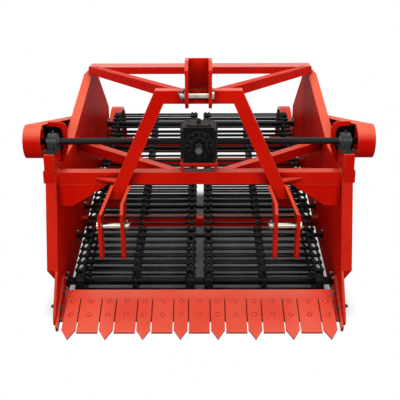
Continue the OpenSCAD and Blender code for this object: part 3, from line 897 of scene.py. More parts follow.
@dataclass
class Loop:
    """A belt path round two wheels of one radius, in Y and Z, run over the top from front to rear."""

    front: Pair
    rear: Pair
    radius: float

    def __post_init__(self) -> None:
        """Work out the straight run."""
        self.start, self.stop = np.array(self.front), np.array(self.rear)
        self.run = float(np.linalg.norm(self.stop - self.start))
        self.along = (self.stop - self.start) / self.run
        self.up = np.array([-self.along[1], self.along[0]])
        self.arc = math.pi * self.radius
        self.length = 2.0 * (self.run + self.arc)

    def points(self, s: Array) -> Array:
        """Points at distances s along the belt.

        On the runs the point is the shaft plus the distance along the run plus the radius; on the turns
        it goes round the shaft by the distance over the radius.

        Args:
            s: Distances from the start of the upper run.

        Returns:
            (n, 2) points in Y and Z.
        """
        s = np.mod(s, self.length)[:, None]
        r = self.radius
        slope = math.atan2(self.along[1], self.along[0])
        turn_rear = slope + math.pi / 2 - (s - self.run) / self.radius
        turn_front = slope - math.pi / 2 - (s - 2 * self.run - self.arc) / self.radius
        parts = [
            self.start + self.along * s + self.up * r,
            self.stop + r * np.concatenate([np.cos(turn_rear), np.sin(turn_rear)], 1),
            self.stop - self.along * (s - self.run - self.arc) - self.up * r,
            self.start + r * np.concatenate([np.cos(turn_front), np.sin(turn_front)], 1)]
        ends = [s < self.run, s < self.run + self.arc, s < 2 * self.run + self.arc]
        return np.select(ends, parts[:3], parts[3])

    def stations(self, count: int, x: float) -> Tuple[Array, Array]:
        """Evenly spaced stations of the belt at one X.

        Args:
            count: How many.
            x: Their place across.

        Returns:
            (n, 3) points, and (n, 3, 3) turns with Y to the next point, in pitches, and Z outwards.
        """
        here = self.points(np.arange(count) * self.length / count)
        reach = np.roll(here, -1, 0) - here
        out = np.stack([-reach[:, 1], reach[:, 0]], 1)
        turns = np.zeros((count, 3, 3))
        turns[:, 0, 0] = 1.0
        turns[:, 1:, 1] = reach / (self.length / count)
        turns[:, 1:, 2] = out / np.linalg.norm(out, axis=1, keepdims=True)
        return np.concatenate([np.full((count, 1), x), here], 1), turns


@dataclass
class Strand:
    """One column of hooked links that ties the rods of a web together."""

    middle: float
    start_half: float
    hook_half: float
    wire: float


@dataclass
class RodWeb:
    """The endless rod-link web of one half: straight rods, tied by bars that hook over the next rod."""

    side: Side
    front: Pair = (-1.005, 0.115)
    rear: Pair = (0.772, 0.495)
    radius: float = 0.070
    rods: int = 68
    inner: float = 0.020
    outer: float = 0.630
    rod_r: float = 0.007
    strands: Tuple[Strand, ...] = (
        Strand(0.0475, 0.0205, 0.0130, 0.0060), Strand(0.325, 0.0115, 0.0050, 0.0052),
        Strand(0.6030, 0.0205, 0.0130, 0.0060))

    def rod(self) -> Shape:
        """One rod along X with chamfered ends: a turned profile laid on its side.

        Returns:
            The rod, with Y and Z 0 on its axis.
        """
        half, r, cut = (self.outer - self.inner) / 2, self.rod_r, 0.0018
        bar = Forms.turned([(0.0, -half), (r - cut, -half), (r, -half + cut), (r, half - cut),
                            (r - cut, half), (0.0, half)], 12)
        return bar.at([(self.inner + self.outer) / 2, 0.0, 0.0], Forms.across())

    def hook(self, strand: Strand, hand: float, pitch: float) -> Shape:
        """One link bar: from this rod along the belt, then over the next rod's back.

        Along Y it goes from 0 to the next rod at pitch and round it by 212 degrees at the rod's radius
        plus most of the wire's; its X glides from the start's half width to the hook's.

        Args:
            strand: The column.
            hand: -1 or 1 for the two bars of a link.
            pitch: Distance between rods.

        Returns:
            The bar, round, with the rod at the origin.
        """
        reach = self.rod_r + strand.wire * 0.92
        turn = np.radians(np.linspace(196.0, -16.0, 7))
        t = np.array([0.0, 0.22, 0.5])
        y = np.concatenate([t * pitch, pitch + reach * np.cos(turn)])
        z = np.concatenate([np.zeros(3), reach * np.sin(turn)])
        glide = np.clip(y / (pitch * 0.8), 0.0, 1.0)
        glide = glide * glide * (3.0 - 2.0 * glide)
        x = hand * (strand.start_half + (strand.hook_half - strand.start_half) * glide)
        return Forms.swept(np.stack([x, y, z], 1), Forms.circle(strand.wire, 6), OUT)

    def knuckle(self, strand: Strand) -> Shape:
        """The thicker sleeve on each rod that the bars hook on, as wide as the column.

        Args:
            strand: The column of bars.

        Returns:
            The sleeve round X = 0.
        """
        half, r = strand.start_half + strand.wire * 0.6, self.rod_r + 0.0034
        sleeve = Forms.turned([(0.0, -half), (r - 0.002, -half), (r, -half + 0.003), (r, half - 0.003),
                               (r - 0.002, half), (0.0, half)], 8)
        return sleeve.at([0.0, 0.0, 0.0], Forms.across())

    def build(self, shop: Workshop) -> None:
        """Make the web as one piece in place of its node.

        Args:
            shop: The workshop.
        """
        loop = Loop(self.front, self.rear, self.radius)
        places, turns = loop.stations(self.rods, 0.0)
        parts = [self.rod().at(places)]
        pitch = loop.length / self.rods
        for strand in self.strands:
            offset = np.array([strand.middle, 0.0, 0.0])
            parts.append(self.knuckle(strand).at(places + offset))
            parts += [self.hook(strand, hand, pitch).repeated(turns, places + offset) for hand in HANDS]
        shop.half("rod_web", self.side, Shape.joined(parts), shop.finishes.black, Slot.BLACK,
                  smooth=Smooth.ROUND, replaces=[f"web_{self.side.tag}"])


@dataclass
class Share:
    """The digging share: flush bolt heads on its tines and square plates, and bolts through the cheeks."""

    back_y: float = -1.1174
    back_z: float = 0.1086
    slope: float = 22.0
    half_width: float = 0.650
    tine_width: float = 0.066
    tines: int = 8
    rows: Pair = (0.0640, 0.1465)
    face: float = 0.0100
    head_r: float = 0.0105
    cheek_face: float = 0.668
    cheek_rows: Pair = (0.03, 0.12)
    cheek_lift: float = 0.030
    cheek_head: Pair = (0.0085, 0.007)

    def at(self, x: Array, s: Union[float, Array], lift: float = 0.0) -> Array:
        """Points on the share's slope.

        Args:
            x: Places across.
            s: Distance from the back edge, down the slope.
            lift: Height over the carrier's face.

        Returns:
            (n, 3) points.
        """
        x = np.atleast_1d(np.asarray(x, float))
        s = np.broadcast_to(np.asarray(s, float), x.shape)
        a = math.radians(self.slope)
        y = self.back_y - s * math.cos(a) - lift * math.sin(a)
        z = self.back_z - s * math.sin(a) + lift * math.cos(a)
        return np.stack([x, y, z], 1)

    def normal(self) -> Array:
        """Direction that the share's face looks."""
        a = math.radians(self.slope)
        return np.array([0.0, -math.sin(a), math.cos(a)])

    def centres(self) -> Array:
        """Middle lines of the tines and of the plates between them.

        Returns:
            Their places in X, from left to right.
        """
        reach = self.half_width - self.tine_width / 2
        tines = np.linspace(-reach, reach, self.tines)
        return np.sort(np.concatenate([tines, (tines[1:] + tines[:-1]) / 2]))

    def head(self) -> Shape:
        """A flush bolt head: a low dome in a shallow ring groove, turned round its axis.

        Returns:
            The head, with Z = 0 on the share's face.
        """
        r = self.head_r
        return Forms.turned([(0.0, -0.001), (r * 1.22, -0.001), (r * 1.22, 0.0004), (r * 1.12, 0.0009),
                             (r * 1.06, 0.0002), (r, 0.0003), (r * 0.97, 0.0014), (r * 0.80, 0.0022),
                             (r * 0.40, 0.0028), (0.0, 0.0029)], 20)

    def groove(self) -> Shape:
        """The dark seam round a flush head: a low ring.

        Returns:
            The ring, with Z = 0 on the share's face.
        """
        r = self.head_r
        rows = [(r * 0.99, -0.001), (r * 1.14, -0.001), (r * 1.14, 0.0010), (r * 0.99, 0.0010)]
        return Forms.ring(rows, 20)

    def build(self, shop: Workshop) -> None:
        """Seat the heads and the cheeks' bolts.

        Args:
            shop: The workshop.
        """
        turn = Forms.facing(self.normal())
        x = self.centres()
        seats = np.concatenate([self.at(x, row, self.face) for row in self.rows])
        shop.piece("share_bolt_seams", self.groove().at(seats, turn), shop.finishes.seam, Slot.RED)
        shop.piece("share_bolt_heads", self.head().at(seats, turn), shop.finishes.share, Slot.RED,
                   smooth=Smooth.ROUND)
        cheek = self.at([self.cheek_face] * 2, self.cheek_rows, self.cheek_lift)
        inner = Forms.hex_bolt(*self.cheek_head).at(cheek, Forms.across(-1.0))
        shop.pairs(("cheek_bolts", inner, shop.finishes.bearing, Slot.BLACK))


@dataclass
class Gearbox:
    """The gearbox on the beam: cover bolts, seal, lid bolts and plug, and the splined input shaft."""

    middle: float = -0.990
    axis_z: float = 0.850
    cover_face: float = -1.071
    boss_face: float = -1.079
    cover_bolts: float = 0.0545
    ear_face: float = 0.082
    ear_bolts: float = 0.060
    lid_top: float = 0.941
    lid_bolts: float = 0.049
    plug_top: float = 0.950
    shaft_out: float = 0.0883
    shaft_in: float = 0.050
    tip: float = 0.0175
    root: float = 0.0147
    journal: float = 0.0165
    splines: int = 6
    small_head: Pair = (0.0050, 0.0045)
    plug_head: Pair = (0.0085, 0.0075)
    ear_head: Pair = (0.0060, 0.0055)

    def shaft(self) -> Shape:
        """The input shaft along Z from its journal to its chamfered end, with straight-sided splines.

        The radius at angle t is the row's root plus (tip - root) times a tooth wave: the cosine of
        six t, sharpened to flat tops and floors by a clipped gain. The locking groove is a pair of
        rows at the root's radius.

        Returns:
            The closed surface, with Z = 0 on the boss's face.
        """
        out, tip, root, plain = self.shaft_out, self.tip, self.root, self.journal
        rows = np.array([
            (-self.shaft_in, plain, plain), (0.0003, plain, plain), (0.0003, tip, tip), (0.010, tip, tip),
            (0.0125, tip, root), (0.046, tip, root), (0.0485, root, root), (0.0545, root, root),
            (0.057, tip, root), (out - 0.0035, tip, root), (out, tip - 0.003, root - 0.001),
            (out, tip * 0.35, tip * 0.35)])
        turn = Forms.angles(self.splines * 16)
        tooth = np.clip(np.cos(turn * self.splines) * 3.2 + 0.5, 0.0, 1.0)
        radius = rows[:, 2:] + (rows[:, 1:2] - rows[:, 2:]) * tooth
        rings = Forms.spun(radius, rows[:, :1], turn)
        return Forms.capped(rings, np.array([[0.0, 0.0, rows[0, 0]], [0.0, 0.0, out - 0.003]]))

    def build(self, shop: Workshop) -> None:
        """Seat the bolts, the seal and the plug, and put the splined shaft in place of its node.

        Args:
            shop: The workshop.
        """
        ahead, up = Forms.facing(FORE), Forms.facing(UP)
        boss = [0.0, self.boss_face, self.axis_z]
        x, z = Forms.circle(self.cover_bolts, 6).T
        small = Forms.hex_bolt(*self.small_head)
        front = small.at(np.stack([x, np.full(6, self.cover_face), self.axis_z + z], 1), ahead)
        seal = Forms.ring([(0.0185, 0.0), (0.0295, 0.0), (0.0295, 0.0022), (0.0275, 0.0036), (0.0205, 0.0030),
                           (0.0185, 0.0016)], 48)
        lip = Forms.ring([(0.0300, -0.001), (0.0388, -0.001), (0.0388, 0.0018), (0.0372, 0.0030),
                          (0.0312, 0.0030), (0.0300, 0.0020)], 48)
        corners = np.array([(a, b) for a in HANDS for b in HANDS])
        lid = np.array([0.0, self.middle, self.lid_top]) + np.pad(corners * self.lid_bolts, ((0, 0), (0, 1)))
        plug = Forms.hex_bolt(*self.plug_head).at([0.0, self.middle, self.plug_top], up)
        ears = self.ear_bolts * np.concatenate([corners, [(0.0, 1.0), (0.0, -1.0)]])
        ear = np.stack([np.full(6, self.ear_face), self.middle + ears[:, 0], self.axis_z + ears[:, 1]], 1)
        right = Forms.hex_bolt(*self.ear_head).at(ear, Forms.across())
        bolts = Shape.joined([front, small.at(lid, up), plug, right, right.mirrored(Side.LEFT)])
        shop.piece("gearbox_bolts", bolts, shop.finishes.iron, Slot.IRON)
        shop.piece("gearbox_seal", Shape.joined([seal, lip]).at(boss, ahead), shop.finishes.black, Slot.BLACK)
        shop.piece("splined_shaft", self.shaft().at(boss, ahead), shop.finishes.shaft, Slot.PIN, body="input",
                   replaces=["input_shaft"])


@dataclass
class HitchPin:
    """Dress of one hitch pin along X: a washer at the plate and a linchpin in its tail."""

    y: float
    z: float
    low: float
    radius: float
    tail: float = 0.022
    wire: float = 0.0021
    ring_gap: float = 0.0075
    stem: float = 0.0044
    washer_thick: float = 0.0035

    def ring(self) -> Shape:
        """The linchpin's spring ring: a round wire bent in a circle, leaning back from the tail's end.

        Its middle line at angle t is (-0.010 - 0.009 sin t, R cos t, R sin t - 0.002), with R the pin's
        radius plus the ring's gap.

        Returns:
            The wire, about the middle of the tail's hole.
        """
        turn = np.radians(np.linspace(62.0, 418.0, 33))
        big = self.radius + self.ring_gap
        path = np.stack([-0.010 - 0.009 * np.sin(turn), big * np.cos(turn), big * np.sin(turn) - 0.002], 1)
        return Forms.swept(path, Forms.circle(self.wire, 8), OUT)

    def linchpin(self) -> Shape:
        """The linchpin's stem, upright through the tail, with a turned head and a rounded point.

        Returns:
            The stem about the pin's axis.
        """
        r, up, down = self.stem, self.radius + 0.013, self.radius + 0.010
        return Forms.turned([(0.0, -down), (r * 0.45, -down), (r * 0.95, -down + 0.004), (r, -down + 0.008),
                             (r, up - 0.006), (r * 1.75, up - 0.005), (r * 1.9, up - 0.002),
                             (r * 1.5, up + 0.001), (0.0, up + 0.0015)], 16)

    def washer(self, x: float) -> Shape:
        """A chamfered washer round the pin, from x back along X.

        Args:
            x: Place of its face at the plate.

        Returns:
            The washer on the pin's axis.
        """
        a, b, cut = self.radius + 0.0006, self.radius + 0.0085, 0.0008
        low, high = -self.washer_thick, 0.0
        rows = [(a, low), (b - cut, low), (b, low + cut), (b, high - cut), (b - cut, high), (a, high)]
        return Forms.ring(rows, 32).at([x, self.y, self.z], Forms.across())

    def parts(self) -> Shape:
        """All small parts of the pin as one shape.

        Returns:
            The stem, its ring and the washer.
        """
        hole = self.low - self.tail * 0.52
        stem = self.linchpin().at([hole, self.y, self.z])
        loop = self.ring().at([hole + 0.002, self.y, self.z])
        return Shape.joined([stem, loop, self.washer(self.low - 0.0004)])


@dataclass
class Hitch:
    """The three-point hitch: dressed pins and the rims of the spare holes."""

    lower_y: float = -1.162
    lower_z: float = 0.485
    plate_in: float = 0.3525
    plate_out: float = 0.4725
    lower_r: float = 0.014
    hole_pitch: float = 0.042
    upper_y: float = -1.124
    upper_z: float = 1.095
    head_half: float = 0.060
    upper_r: float = 0.0127
    spare_up: float = 0.110

    def rims(self, places: Sequence[Vector], radius: float) -> Shape:
        """Rings pressed round holes, facing outwards.

        Args:
            places: Centres of the holes.
            radius: Radius of the holes.

        Returns:
            One ring at each hole.
        """
        a, b = radius + 0.0004, radius + 0.0052
        bush = Forms.ring([(a, -0.004), (b, -0.004), (b, 0.0010), (b - 0.0012, 0.0020), (a + 0.0010, 0.0020),
                           (a, 0.0012)], 32)
        return bush.at(places, Forms.across())

    def build(self, shop: Workshop) -> None:
        """Dress the upper pin and both lower pins.

        Args:
            shop: The workshop.
        """
        upper = HitchPin(self.upper_y, self.upper_z, -self.head_half, self.upper_r)
        shop.piece("upper_linchpin", upper.parts(), shop.finishes.bolt, Slot.PIN, smooth=Smooth.ROUND)
        lower = HitchPin(self.lower_y, self.lower_z, self.plate_in, self.lower_r)
        spare = [(self.plate_out, self.lower_y, self.lower_z - self.hole_pitch * i) for i in (1, 2)]
        head = [(self.head_half, self.upper_y, self.upper_z + self.spare_up)]
        rims = Shape.joined([self.rims(spare, self.lower_r), self.rims(head, self.upper_r)])
        shop.pairs(("lower_linchpin", lower.parts(), shop.finishes.bolt, Slot.PIN, "frame", Smooth.ROUND),
                   ("hole_rims", rims, shop.finishes.red_bolt, Slot.RED))


@dataclass
class Bearing:
    """Fasteners and insert of a bearing on a shaft along X: bolts, seal, inner ring with set screws."""

    y: float
    z: float
    face: float
    shaft_r: float

    def insert(self, reach: float, outward: float) -> Shape:
        """The bearing's inner ring and seal, standing out of the housing's face along X.

        Args:
            reach: How far the ring stands out.
            outward: 1 or -1 along X.

        Returns:
            The two rings and two set screws.
        """
        a, b, c = self.shaft_r + 0.0004, self.shaft_r + 0.0075, self.shaft_r + 0.0165
        race = Forms.ring([(a, -0.002), (b, -0.002), (b, reach - 0.0012), (b - 0.0012, reach),
                           (a, reach)], 40)
        seal = Forms.ring([(b + 0.0006, -0.002), (c, -0.002), (c, 0.0008), (c - 0.0015, 0.0016),
                           (b + 0.0022, 0.0012), (b + 0.0006, 0.0004)], 40)
        screw = Forms.turned([(0.0, -0.001), (0.0026, -0.001), (0.0026, 0.0007), (0.0014, 0.0007),
                              (0.0, -0.0004)], 8)
        turns = np.stack([Forms.facing((math.cos(t), math.sin(t), 0.0), UP) for t in (0.4, 2.4)])
        places = turns[:, :, 2] * b + np.array([0.0, 0.0, reach * 0.55])
        parts = Shape.joined([race, seal, screw.repeated(turns, places)])
        return parts.at([self.face, self.y, self.z], Forms.across(outward))

    def bolts(self, radius: float, count: int, size: float, outward: float, face: float) -> Shape:
        """Bolts on a circle round the shaft.

        Args:
            radius: Radius of the circle.
            count: How many.
            size: Half their width across flats.
            outward: 1 or -1 along X.
            face: X of the face that they sit on.

        Returns:
            The bolts.
        """
        turn = np.pi / count + Forms.angles(count)
        y, z = self.y + radius * np.cos(turn), self.z + radius * np.sin(turn)
        places = np.stack([np.full(count, face), y, z], 1)
        return Forms.hex_bolt(size, size * 1.1).at(places, Forms.across(outward))


@dataclass
class DriveLine:
    """Bearings of the shafts and carrier rollers, with fasteners on both faces of the side plates."""

    drive: Pair = (-0.990, 0.850)
    front: Pair = (-1.005, 0.115)
    rear: Pair = (0.772, 0.495)
    carriers: Tuple[float, ...] = (0.2, 0.36, 0.56, 0.76)
    carrier_lift: float = 0.0277
    plate_in: float = 0.680
    plate_out: float = 0.686
    block: Pair = (0.673, 0.717)
    block_low: float = 0.804
    block_foot: float = 0.016
    block_bolts: float = 0.051
    shaft_r: float = 0.016
    web_shaft_r: float = 0.020
    carrier_shaft_r: float = 0.0125
    web_bearing: float = 0.028
    carrier_bearing: float = 0.018
    block_top: float = 0.040
    block_ring: float = 0.007
    foot_head: Vector = (0.0080, 0.0085, 0.006)
    web_ring: float = 0.006
    web_circle: float = 0.0405
    web_heads: Pair = (0.0058, 0.0080)
    carrier_circle: float = 0.0245
    carrier_heads: Pair = (0.0050, 0.0070)

    def carrier_places(self) -> Array:
        """Y and Z of the carrier rollers: along the run from the front shaft, lifted square to it.

        Returns:
            (n, 2) centres, from the front.
        """
        a, b = np.array(self.front), np.array(self.rear)
        along = (b - a) / np.linalg.norm(b - a)
        up = np.array([-along[1], along[0]])
        share = np.array(self.carriers)[:, None]
        return a + (b - a) * share + up * self.carrier_lift

    def pillow(self) -> Tuple[Shape, Shape]:
        """Foot bolts of the right pillow block, and its inserts with the nipple on its top.

        Returns:
            The bolts, and the inserts with the nipple.
        """
        y, z = self.drive
        middle = sum(self.block) / 2
        foot = [(middle, y + s * self.block_bolts, self.block_low + self.block_foot) for s in HANDS]
        nipple = Forms.turned([(0.0, -0.002), (0.0042, -0.002), (0.0042, 0.004), (0.0024, 0.005),
                               (0.0024, 0.008), (0.0032, 0.009), (0.0026, 0.012), (0.0, 0.013)], 12)
        parts = [nipple.at([middle, y, z + self.block_top])]
        for x, hand in zip(self.block, HANDS):
            parts.append(Bearing(y, z, x, self.shaft_r).insert(self.block_ring, hand))
        return Forms.hex_bolt(*self.foot_head).at(foot), Shape.joined(parts)

    def through(self, seat: Bearing, radius: float, count: int, heads: Pair) -> List[Shape]:
        """Bolts of one bearing, on its face and on the inner face of the plate.

        Args:
            seat: The bearing.
            radius: Radius of the bolt circle.
            count: Number of bolts.
            heads: Sizes of the heads outside and inside.

        Returns:
            The two sets of heads.
        """
        outer, inner = heads
        return [seat.bolts(radius, count, outer, 1.0, seat.face),
                seat.bolts(radius, count, inner, -1.0, self.plate_in)]

    def build(self, shop: Workshop) -> None:
        """Seat all bearing parts on both halves.

        Args:
            shop: The workshop.
        """
        foot_bolts, inserts = self.pillow()
        bolts, rings = [], [inserts]
        for y, z in (self.front, self.rear):
            seat = Bearing(y, z, self.plate_out + self.web_bearing, self.web_shaft_r)
            rings.append(seat.insert(self.web_ring, 1.0))
            bolts += self.through(seat, self.web_circle, 4, self.web_heads)
        for y, z in self.carrier_places():
            seat = Bearing(y, z, self.plate_out + self.carrier_bearing, self.carrier_shaft_r)
            bolts += self.through(seat, self.carrier_circle, 2, self.carrier_heads)
        shop.pairs(("block_bolts", foot_bolts, shop.finishes.bearing, Slot.BLACK),
                   ("bearing_bolts", Shape.joined(bolts), shop.finishes.bolt, Slot.PIN),
                   ("bearing_inserts", Shape.joined(rings), shop.finishes.shaft, Slot.PIN))


@dataclass(frozen=True)
class Seam:
    """One weld seam on the right half: its two ends and the directions away from it along both faces."""

    start: Vector
    end: Vector
    first: Vector
    second: Vector
    size: float = 0.0050


@dataclass
class Welds:
    """Weld beads under the paint where the frame's tubes and plates meet."""

    plate: float = 0.680
    beam: Pair = (-1.042, -0.982)
    beam_z: Pair = (0.650, 0.710)
    mast_front: float = -1.102
    bar_z: Pair = (1.054, 1.114)
    head: float = 0.060
    leg_tan: float = 0.45492
    leg_half: float = 0.03296
    bar_x: float = 0.178
    leg_top: float = 1.084
    hitch_top: float = 0.665

    def mast(self) -> Tuple[Seam, ...]:
        """Seams of the mast's head on its bar and of the hitch plates on the legs.

        Returns:
            The seams of the right half.
        """
        x, y, back = self.head, self.mast_front, self.beam[0]
        low, high = self.bar_z
        rise = 1.0 / math.hypot(1.0, self.leg_tan)
        leg = (-self.leg_tan * rise, 0.0, rise)
        foot = self.bar_x + (self.leg_top - self.hitch_top) * self.leg_tan + self.leg_half
        return (
            Seam((x, y, low + 0.002), (x, y, high - 0.002), OUT, FORE),
            Seam((x, y + 0.002, high), (x, back - 0.002, high), OUT, UP),
            Seam((x, y + 0.002, low), (x, back - 0.002, low), OUT, DOWN, 0.0042),
            Seam((x - 0.015, back - 0.012, high + 0.003), (x - 0.015, back - 0.012, 1.247), IN, FORE),
            Seam((0.002, back - 0.012, high), (x - 0.018, back - 0.012, high), FORE, UP, 0.0042),
            Seam((foot, y + 0.002, self.hitch_top), (foot, back - 0.002, self.hitch_top), leg, OUT))

    def main_beam(self) -> Tuple[Seam, ...]:
        """Seams of the main beam in the side plate and of what stands on it.

        Returns:
            The seams of the right half.
        """
        x, (y0, y1), (z0, z1) = self.plate, self.beam, self.beam_z
        return (
            Seam((x, y0 + 0.002, z1), (x, y1 - 0.002, z1), IN, UP),
            Seam((x, y0, z0 + 0.002), (x, y0, z1 - 0.002), IN, FORE, 0.0060),
            Seam((x, y1, z0 + 0.002), (x, y1, z1 - 0.002), IN, AFT),
            Seam((x, y0 + 0.002, z0), (x, y1 - 0.002, z0), IN, DOWN),
            Seam((x + 0.006, y0, z0 + 0.002), (x + 0.006, y0, z1 - 0.002), OUT, FORE),
            Seam((0.087, y0 + 0.002, z1), (0.087, y1 - 0.002, z1), OUT, UP),
            Seam((0.078, y1, 0.704), (0.142, y1, 0.704), UP, AFT, 0.0045),
            Seam((x, -0.462, 0.704), (x, -0.398, 0.704), UP, IN, 0.0045))

    def rear(self) -> Tuple[Seam, ...]:
        """Seams of the rear beam, the tubes between the runs, the hanger and the wheel arm.

        Returns:
            The seams of the right half.
        """
        x = self.plate
        tubes = ((-0.4719, 0.2290), (0.2034, 0.3734))
        seams = [Seam((x, y - 0.023, z + 0.025), (x, y + 0.023, z + 0.025), IN, UP, 0.0045) for y, z in tubes]
        seams += [Seam((x, y - 0.025, z - 0.023), (x, y - 0.025, z + 0.023), IN, FORE, 0.0045)
                  for y, z in tubes]
        return (
            *seams,
            Seam((x, 0.180, 0.964), (x, 0.322, 0.964), DOWN, IN),
            Seam((0.683, -0.910, 0.720), (0.729, -0.910, 0.720), AFT, UP),
            Seam((x, 0.672, 0.380), (x, 0.728, 0.380), IN, UP),
            Seam((x, 0.730, 0.322), (x, 0.730, 0.378), IN, AFT),
            Seam((0.545, 0.730, 0.3755), (0.591, 0.730, 0.3755), UP, AFT, 0.0040))

    def build(self, shop: Workshop) -> None:
        """Lay all beads on both halves.

        Args:
            shop: The workshop.
        """
        groups = {"mast": self.mast(), "beam": self.main_beam(), "rear": self.rear()}
        for name, seams in groups.items():
            beads = Shape.joined([Forms.bead(s.start, s.end, s.first, s.second, s.size) for s in seams])
            shop.pairs((f"{name}_welds", beads, shop.finishes.red, Slot.RED, "frame", Smooth.ROUND))


@dataclass
class Chassis:
    """Plates at the frame's corners: gussets under the main beam, caps on its ends, shields behind the pillow
    blocks with black panels of painted shade inside them, toes that carry the side plates down to the share,
    and the stitch welds of the flanges."""

    plate_in: float = 0.680
    plate_out: float = 0.686
    beam_front: float = -1.0418
    beam_low: float = 0.6496
    gusset_low: float = 0.540
    gusset_thick: float = 0.0046
    cap: Vector = (0.712, -1.026, 0.692)
    cap_size: Vector = (0.056, 0.084, 0.058)
    shield_y: float = -0.902
    shield_thick: float = 0.005
    # thickness of the black panel of painted shade
    panel_thick: float = 0.0012
    nose: Pair = (-1.187, 0.262)
    brow: Pair = (-1.050, 0.720)
    chin: Pair = (-1.140, 0.110)
    toe: Tuple[Pair, ...] = (
        (-1.190, 0.258), (-1.310, 0.078), (-1.318, 0.054), (-1.311, 0.035), (-1.288, 0.028), (-1.120, 0.106),
        (-1.158, 0.262))
    toe_bolt: Pair = (-1.245, 0.102)
    toe_thick: float = 0.012
    toe_head: Vector = (0.0105, 0.009, 0.008)
    flange_thick: float = 0.006
    stitch: float = 0.022
    stitch_leg: float = 0.0032
    stitch_count: int = 12
    clear: float = 0.0004
    lap: float = 0.0002

    def gusset(self) -> Shape:
        """Corner plate under the beam, in X and Z, from the side plate's inner face.

        Returns:
            The right half's plate.
        """
        outer = self.plate_in - self.clear
        outline = [(0.440, self.beam_low), (0.612, self.gusset_low), (outer, self.gusset_low),
                   (outer, self.beam_low)]
        back = self.beam_front + self.gusset_thick
        return Forms.plate(outline, self.gusset_thick, 0.0008).at([0.0, back, 0.0], Forms.facing(FORE))

    def end_cap(self) -> Shape:
        """Box end of the beam outside the flange.

        Returns:
            The right half's plate.
        """
        x, y, z = self.cap
        a, b, c = (size / 2 for size in self.cap_size)
        outline = [(-a, -c), (a, -c), (a, c), (-a, c)]
        return Forms.plate(outline, 2 * b, 0.003).at([x, y + b, z], Forms.facing(FORE))

    @staticmethod
    def corner(x: float, z: float, radius: float) -> list:
        """Points of a rounded upper inner corner about (x, z), from its top to its side."""
        turn = np.radians(np.linspace(90.0, 180.0, 7))
        return np.stack([x + radius * np.cos(turn), z + radius * np.sin(turn)], 1).tolist()

    def shield(self) -> Shape:
        """Plate with a rounded upper corner behind the pillow block, in X and Z.

        Returns:
            The right half's plate.
        """
        outline = [(0.676, 0.7215), (0.735, 0.7215), (0.735, 0.925), *self.corner(0.680, 0.885, 0.040),
                   (0.642, 0.800), (0.656, 0.752)]
        shield = Forms.plate(outline, self.shield_thick, 0.001)
        return shield.at([0.0, self.shield_y, 0.0], Forms.facing(FORE))

    def panel(self) -> Shape:
        """Black panel of painted shade inside the shield's rim, put where there is only shade, round at its
        upper corner, in X and Z.

        Returns:
            The right half's plate.
        """
        outline = [(0.684, 0.728), (0.720, 0.728), (0.758, 0.800), (0.758, 0.902),
                   *self.corner(0.697, 0.870, 0.032), (0.665, 0.806), (0.676, 0.760)]
        seat = self.shield_y - self.shield_thick + self.lap
        return Forms.plate(outline, self.panel_thick, 0.0003).at([0.0, seat, 0.0], Forms.facing(FORE))

    def toe_plate(self) -> Shape:
        """Lower front corner of the side plate, in Y and Z, beside the share's cheek."""
        plate = Forms.plate(self.toe, self.toe_thick, 0.0015)
        return plate.at([self.plate_in + self.lap, 0.0, 0.0], Forms.across())

    def toe_flange(self) -> Shape:
        """Tapered end of the front flange, in X and along the plate's edge from the nose down.

        Returns:
            The right half's plate.
        """
        low, high = np.array(self.chin), np.array(self.nose)
        along = (high - low) / np.linalg.norm(high - low)
        inner = self.plate_in + self.clear
        outline = [(inner, -0.125), (0.691, -0.125), (0.695, -0.092), (0.700, -0.062), (0.713, -0.030),
                   (0.731, 0.0), (inner, 0.0)]
        turn = np.stack([OUT, (0.0, *along), (0.0, -along[1], along[0])], 1)
        place = np.array([0.0, *high]) - turn[:, 2] * 0.0054
        return Forms.plate(outline, self.flange_thick, 0.001).at(place, turn)

    def stitches(self) -> Shape:
        """Short beads down the front flange's inner edge, spaced evenly between the nose and the brow.

        Returns:
            The right half's beads.
        """
        low, high = np.array(self.nose), np.array(self.brow)
        along = (high - low) / np.linalg.norm(high - low)
        face = np.array([0.0, -along[1], along[0]])
        starts = low + (high - low) * np.linspace(0.06, 0.80, self.stitch_count)[:, None]
        ends = starts + along * self.stitch
        x = self.plate_out
        return Shape.joined([Forms.bead((x, *a), (x, *b), face, OUT, self.stitch_leg)
                             for a, b in zip(starts, ends)])

    def build(self, shop: Workshop) -> None:
        """Seat the plates and beads on both halves.

        Args:
            shop: The workshop.
        """
        look = shop.finishes
        seat = [self.plate_in + self.toe_thick, *self.toe_bolt]
        bolt = Forms.hex_bolt(*self.toe_head).at(seat, Forms.across())
        shop.pairs(("beam_gusset", self.gusset(), look.plate, Slot.RED),
                   ("beam_cap", self.end_cap(), look.red, Slot.RED),
                   ("drive_shield", self.shield(), look.red, Slot.RED),
                   # the black panel is painted shade inside the shield's rim
                   ("shield_panel", self.panel(), look.black, Slot.BLACK),
                   ("plate_toe", Shape.joined([self.toe_plate(), self.toe_flange()]), look.red, Slot.RED),
                   ("flange_stitches", self.stitches(), look.red, Slot.RED, "frame", Smooth.ROUND),
                   ("toe_bolt", bolt, look.bearing, Slot.BLACK))


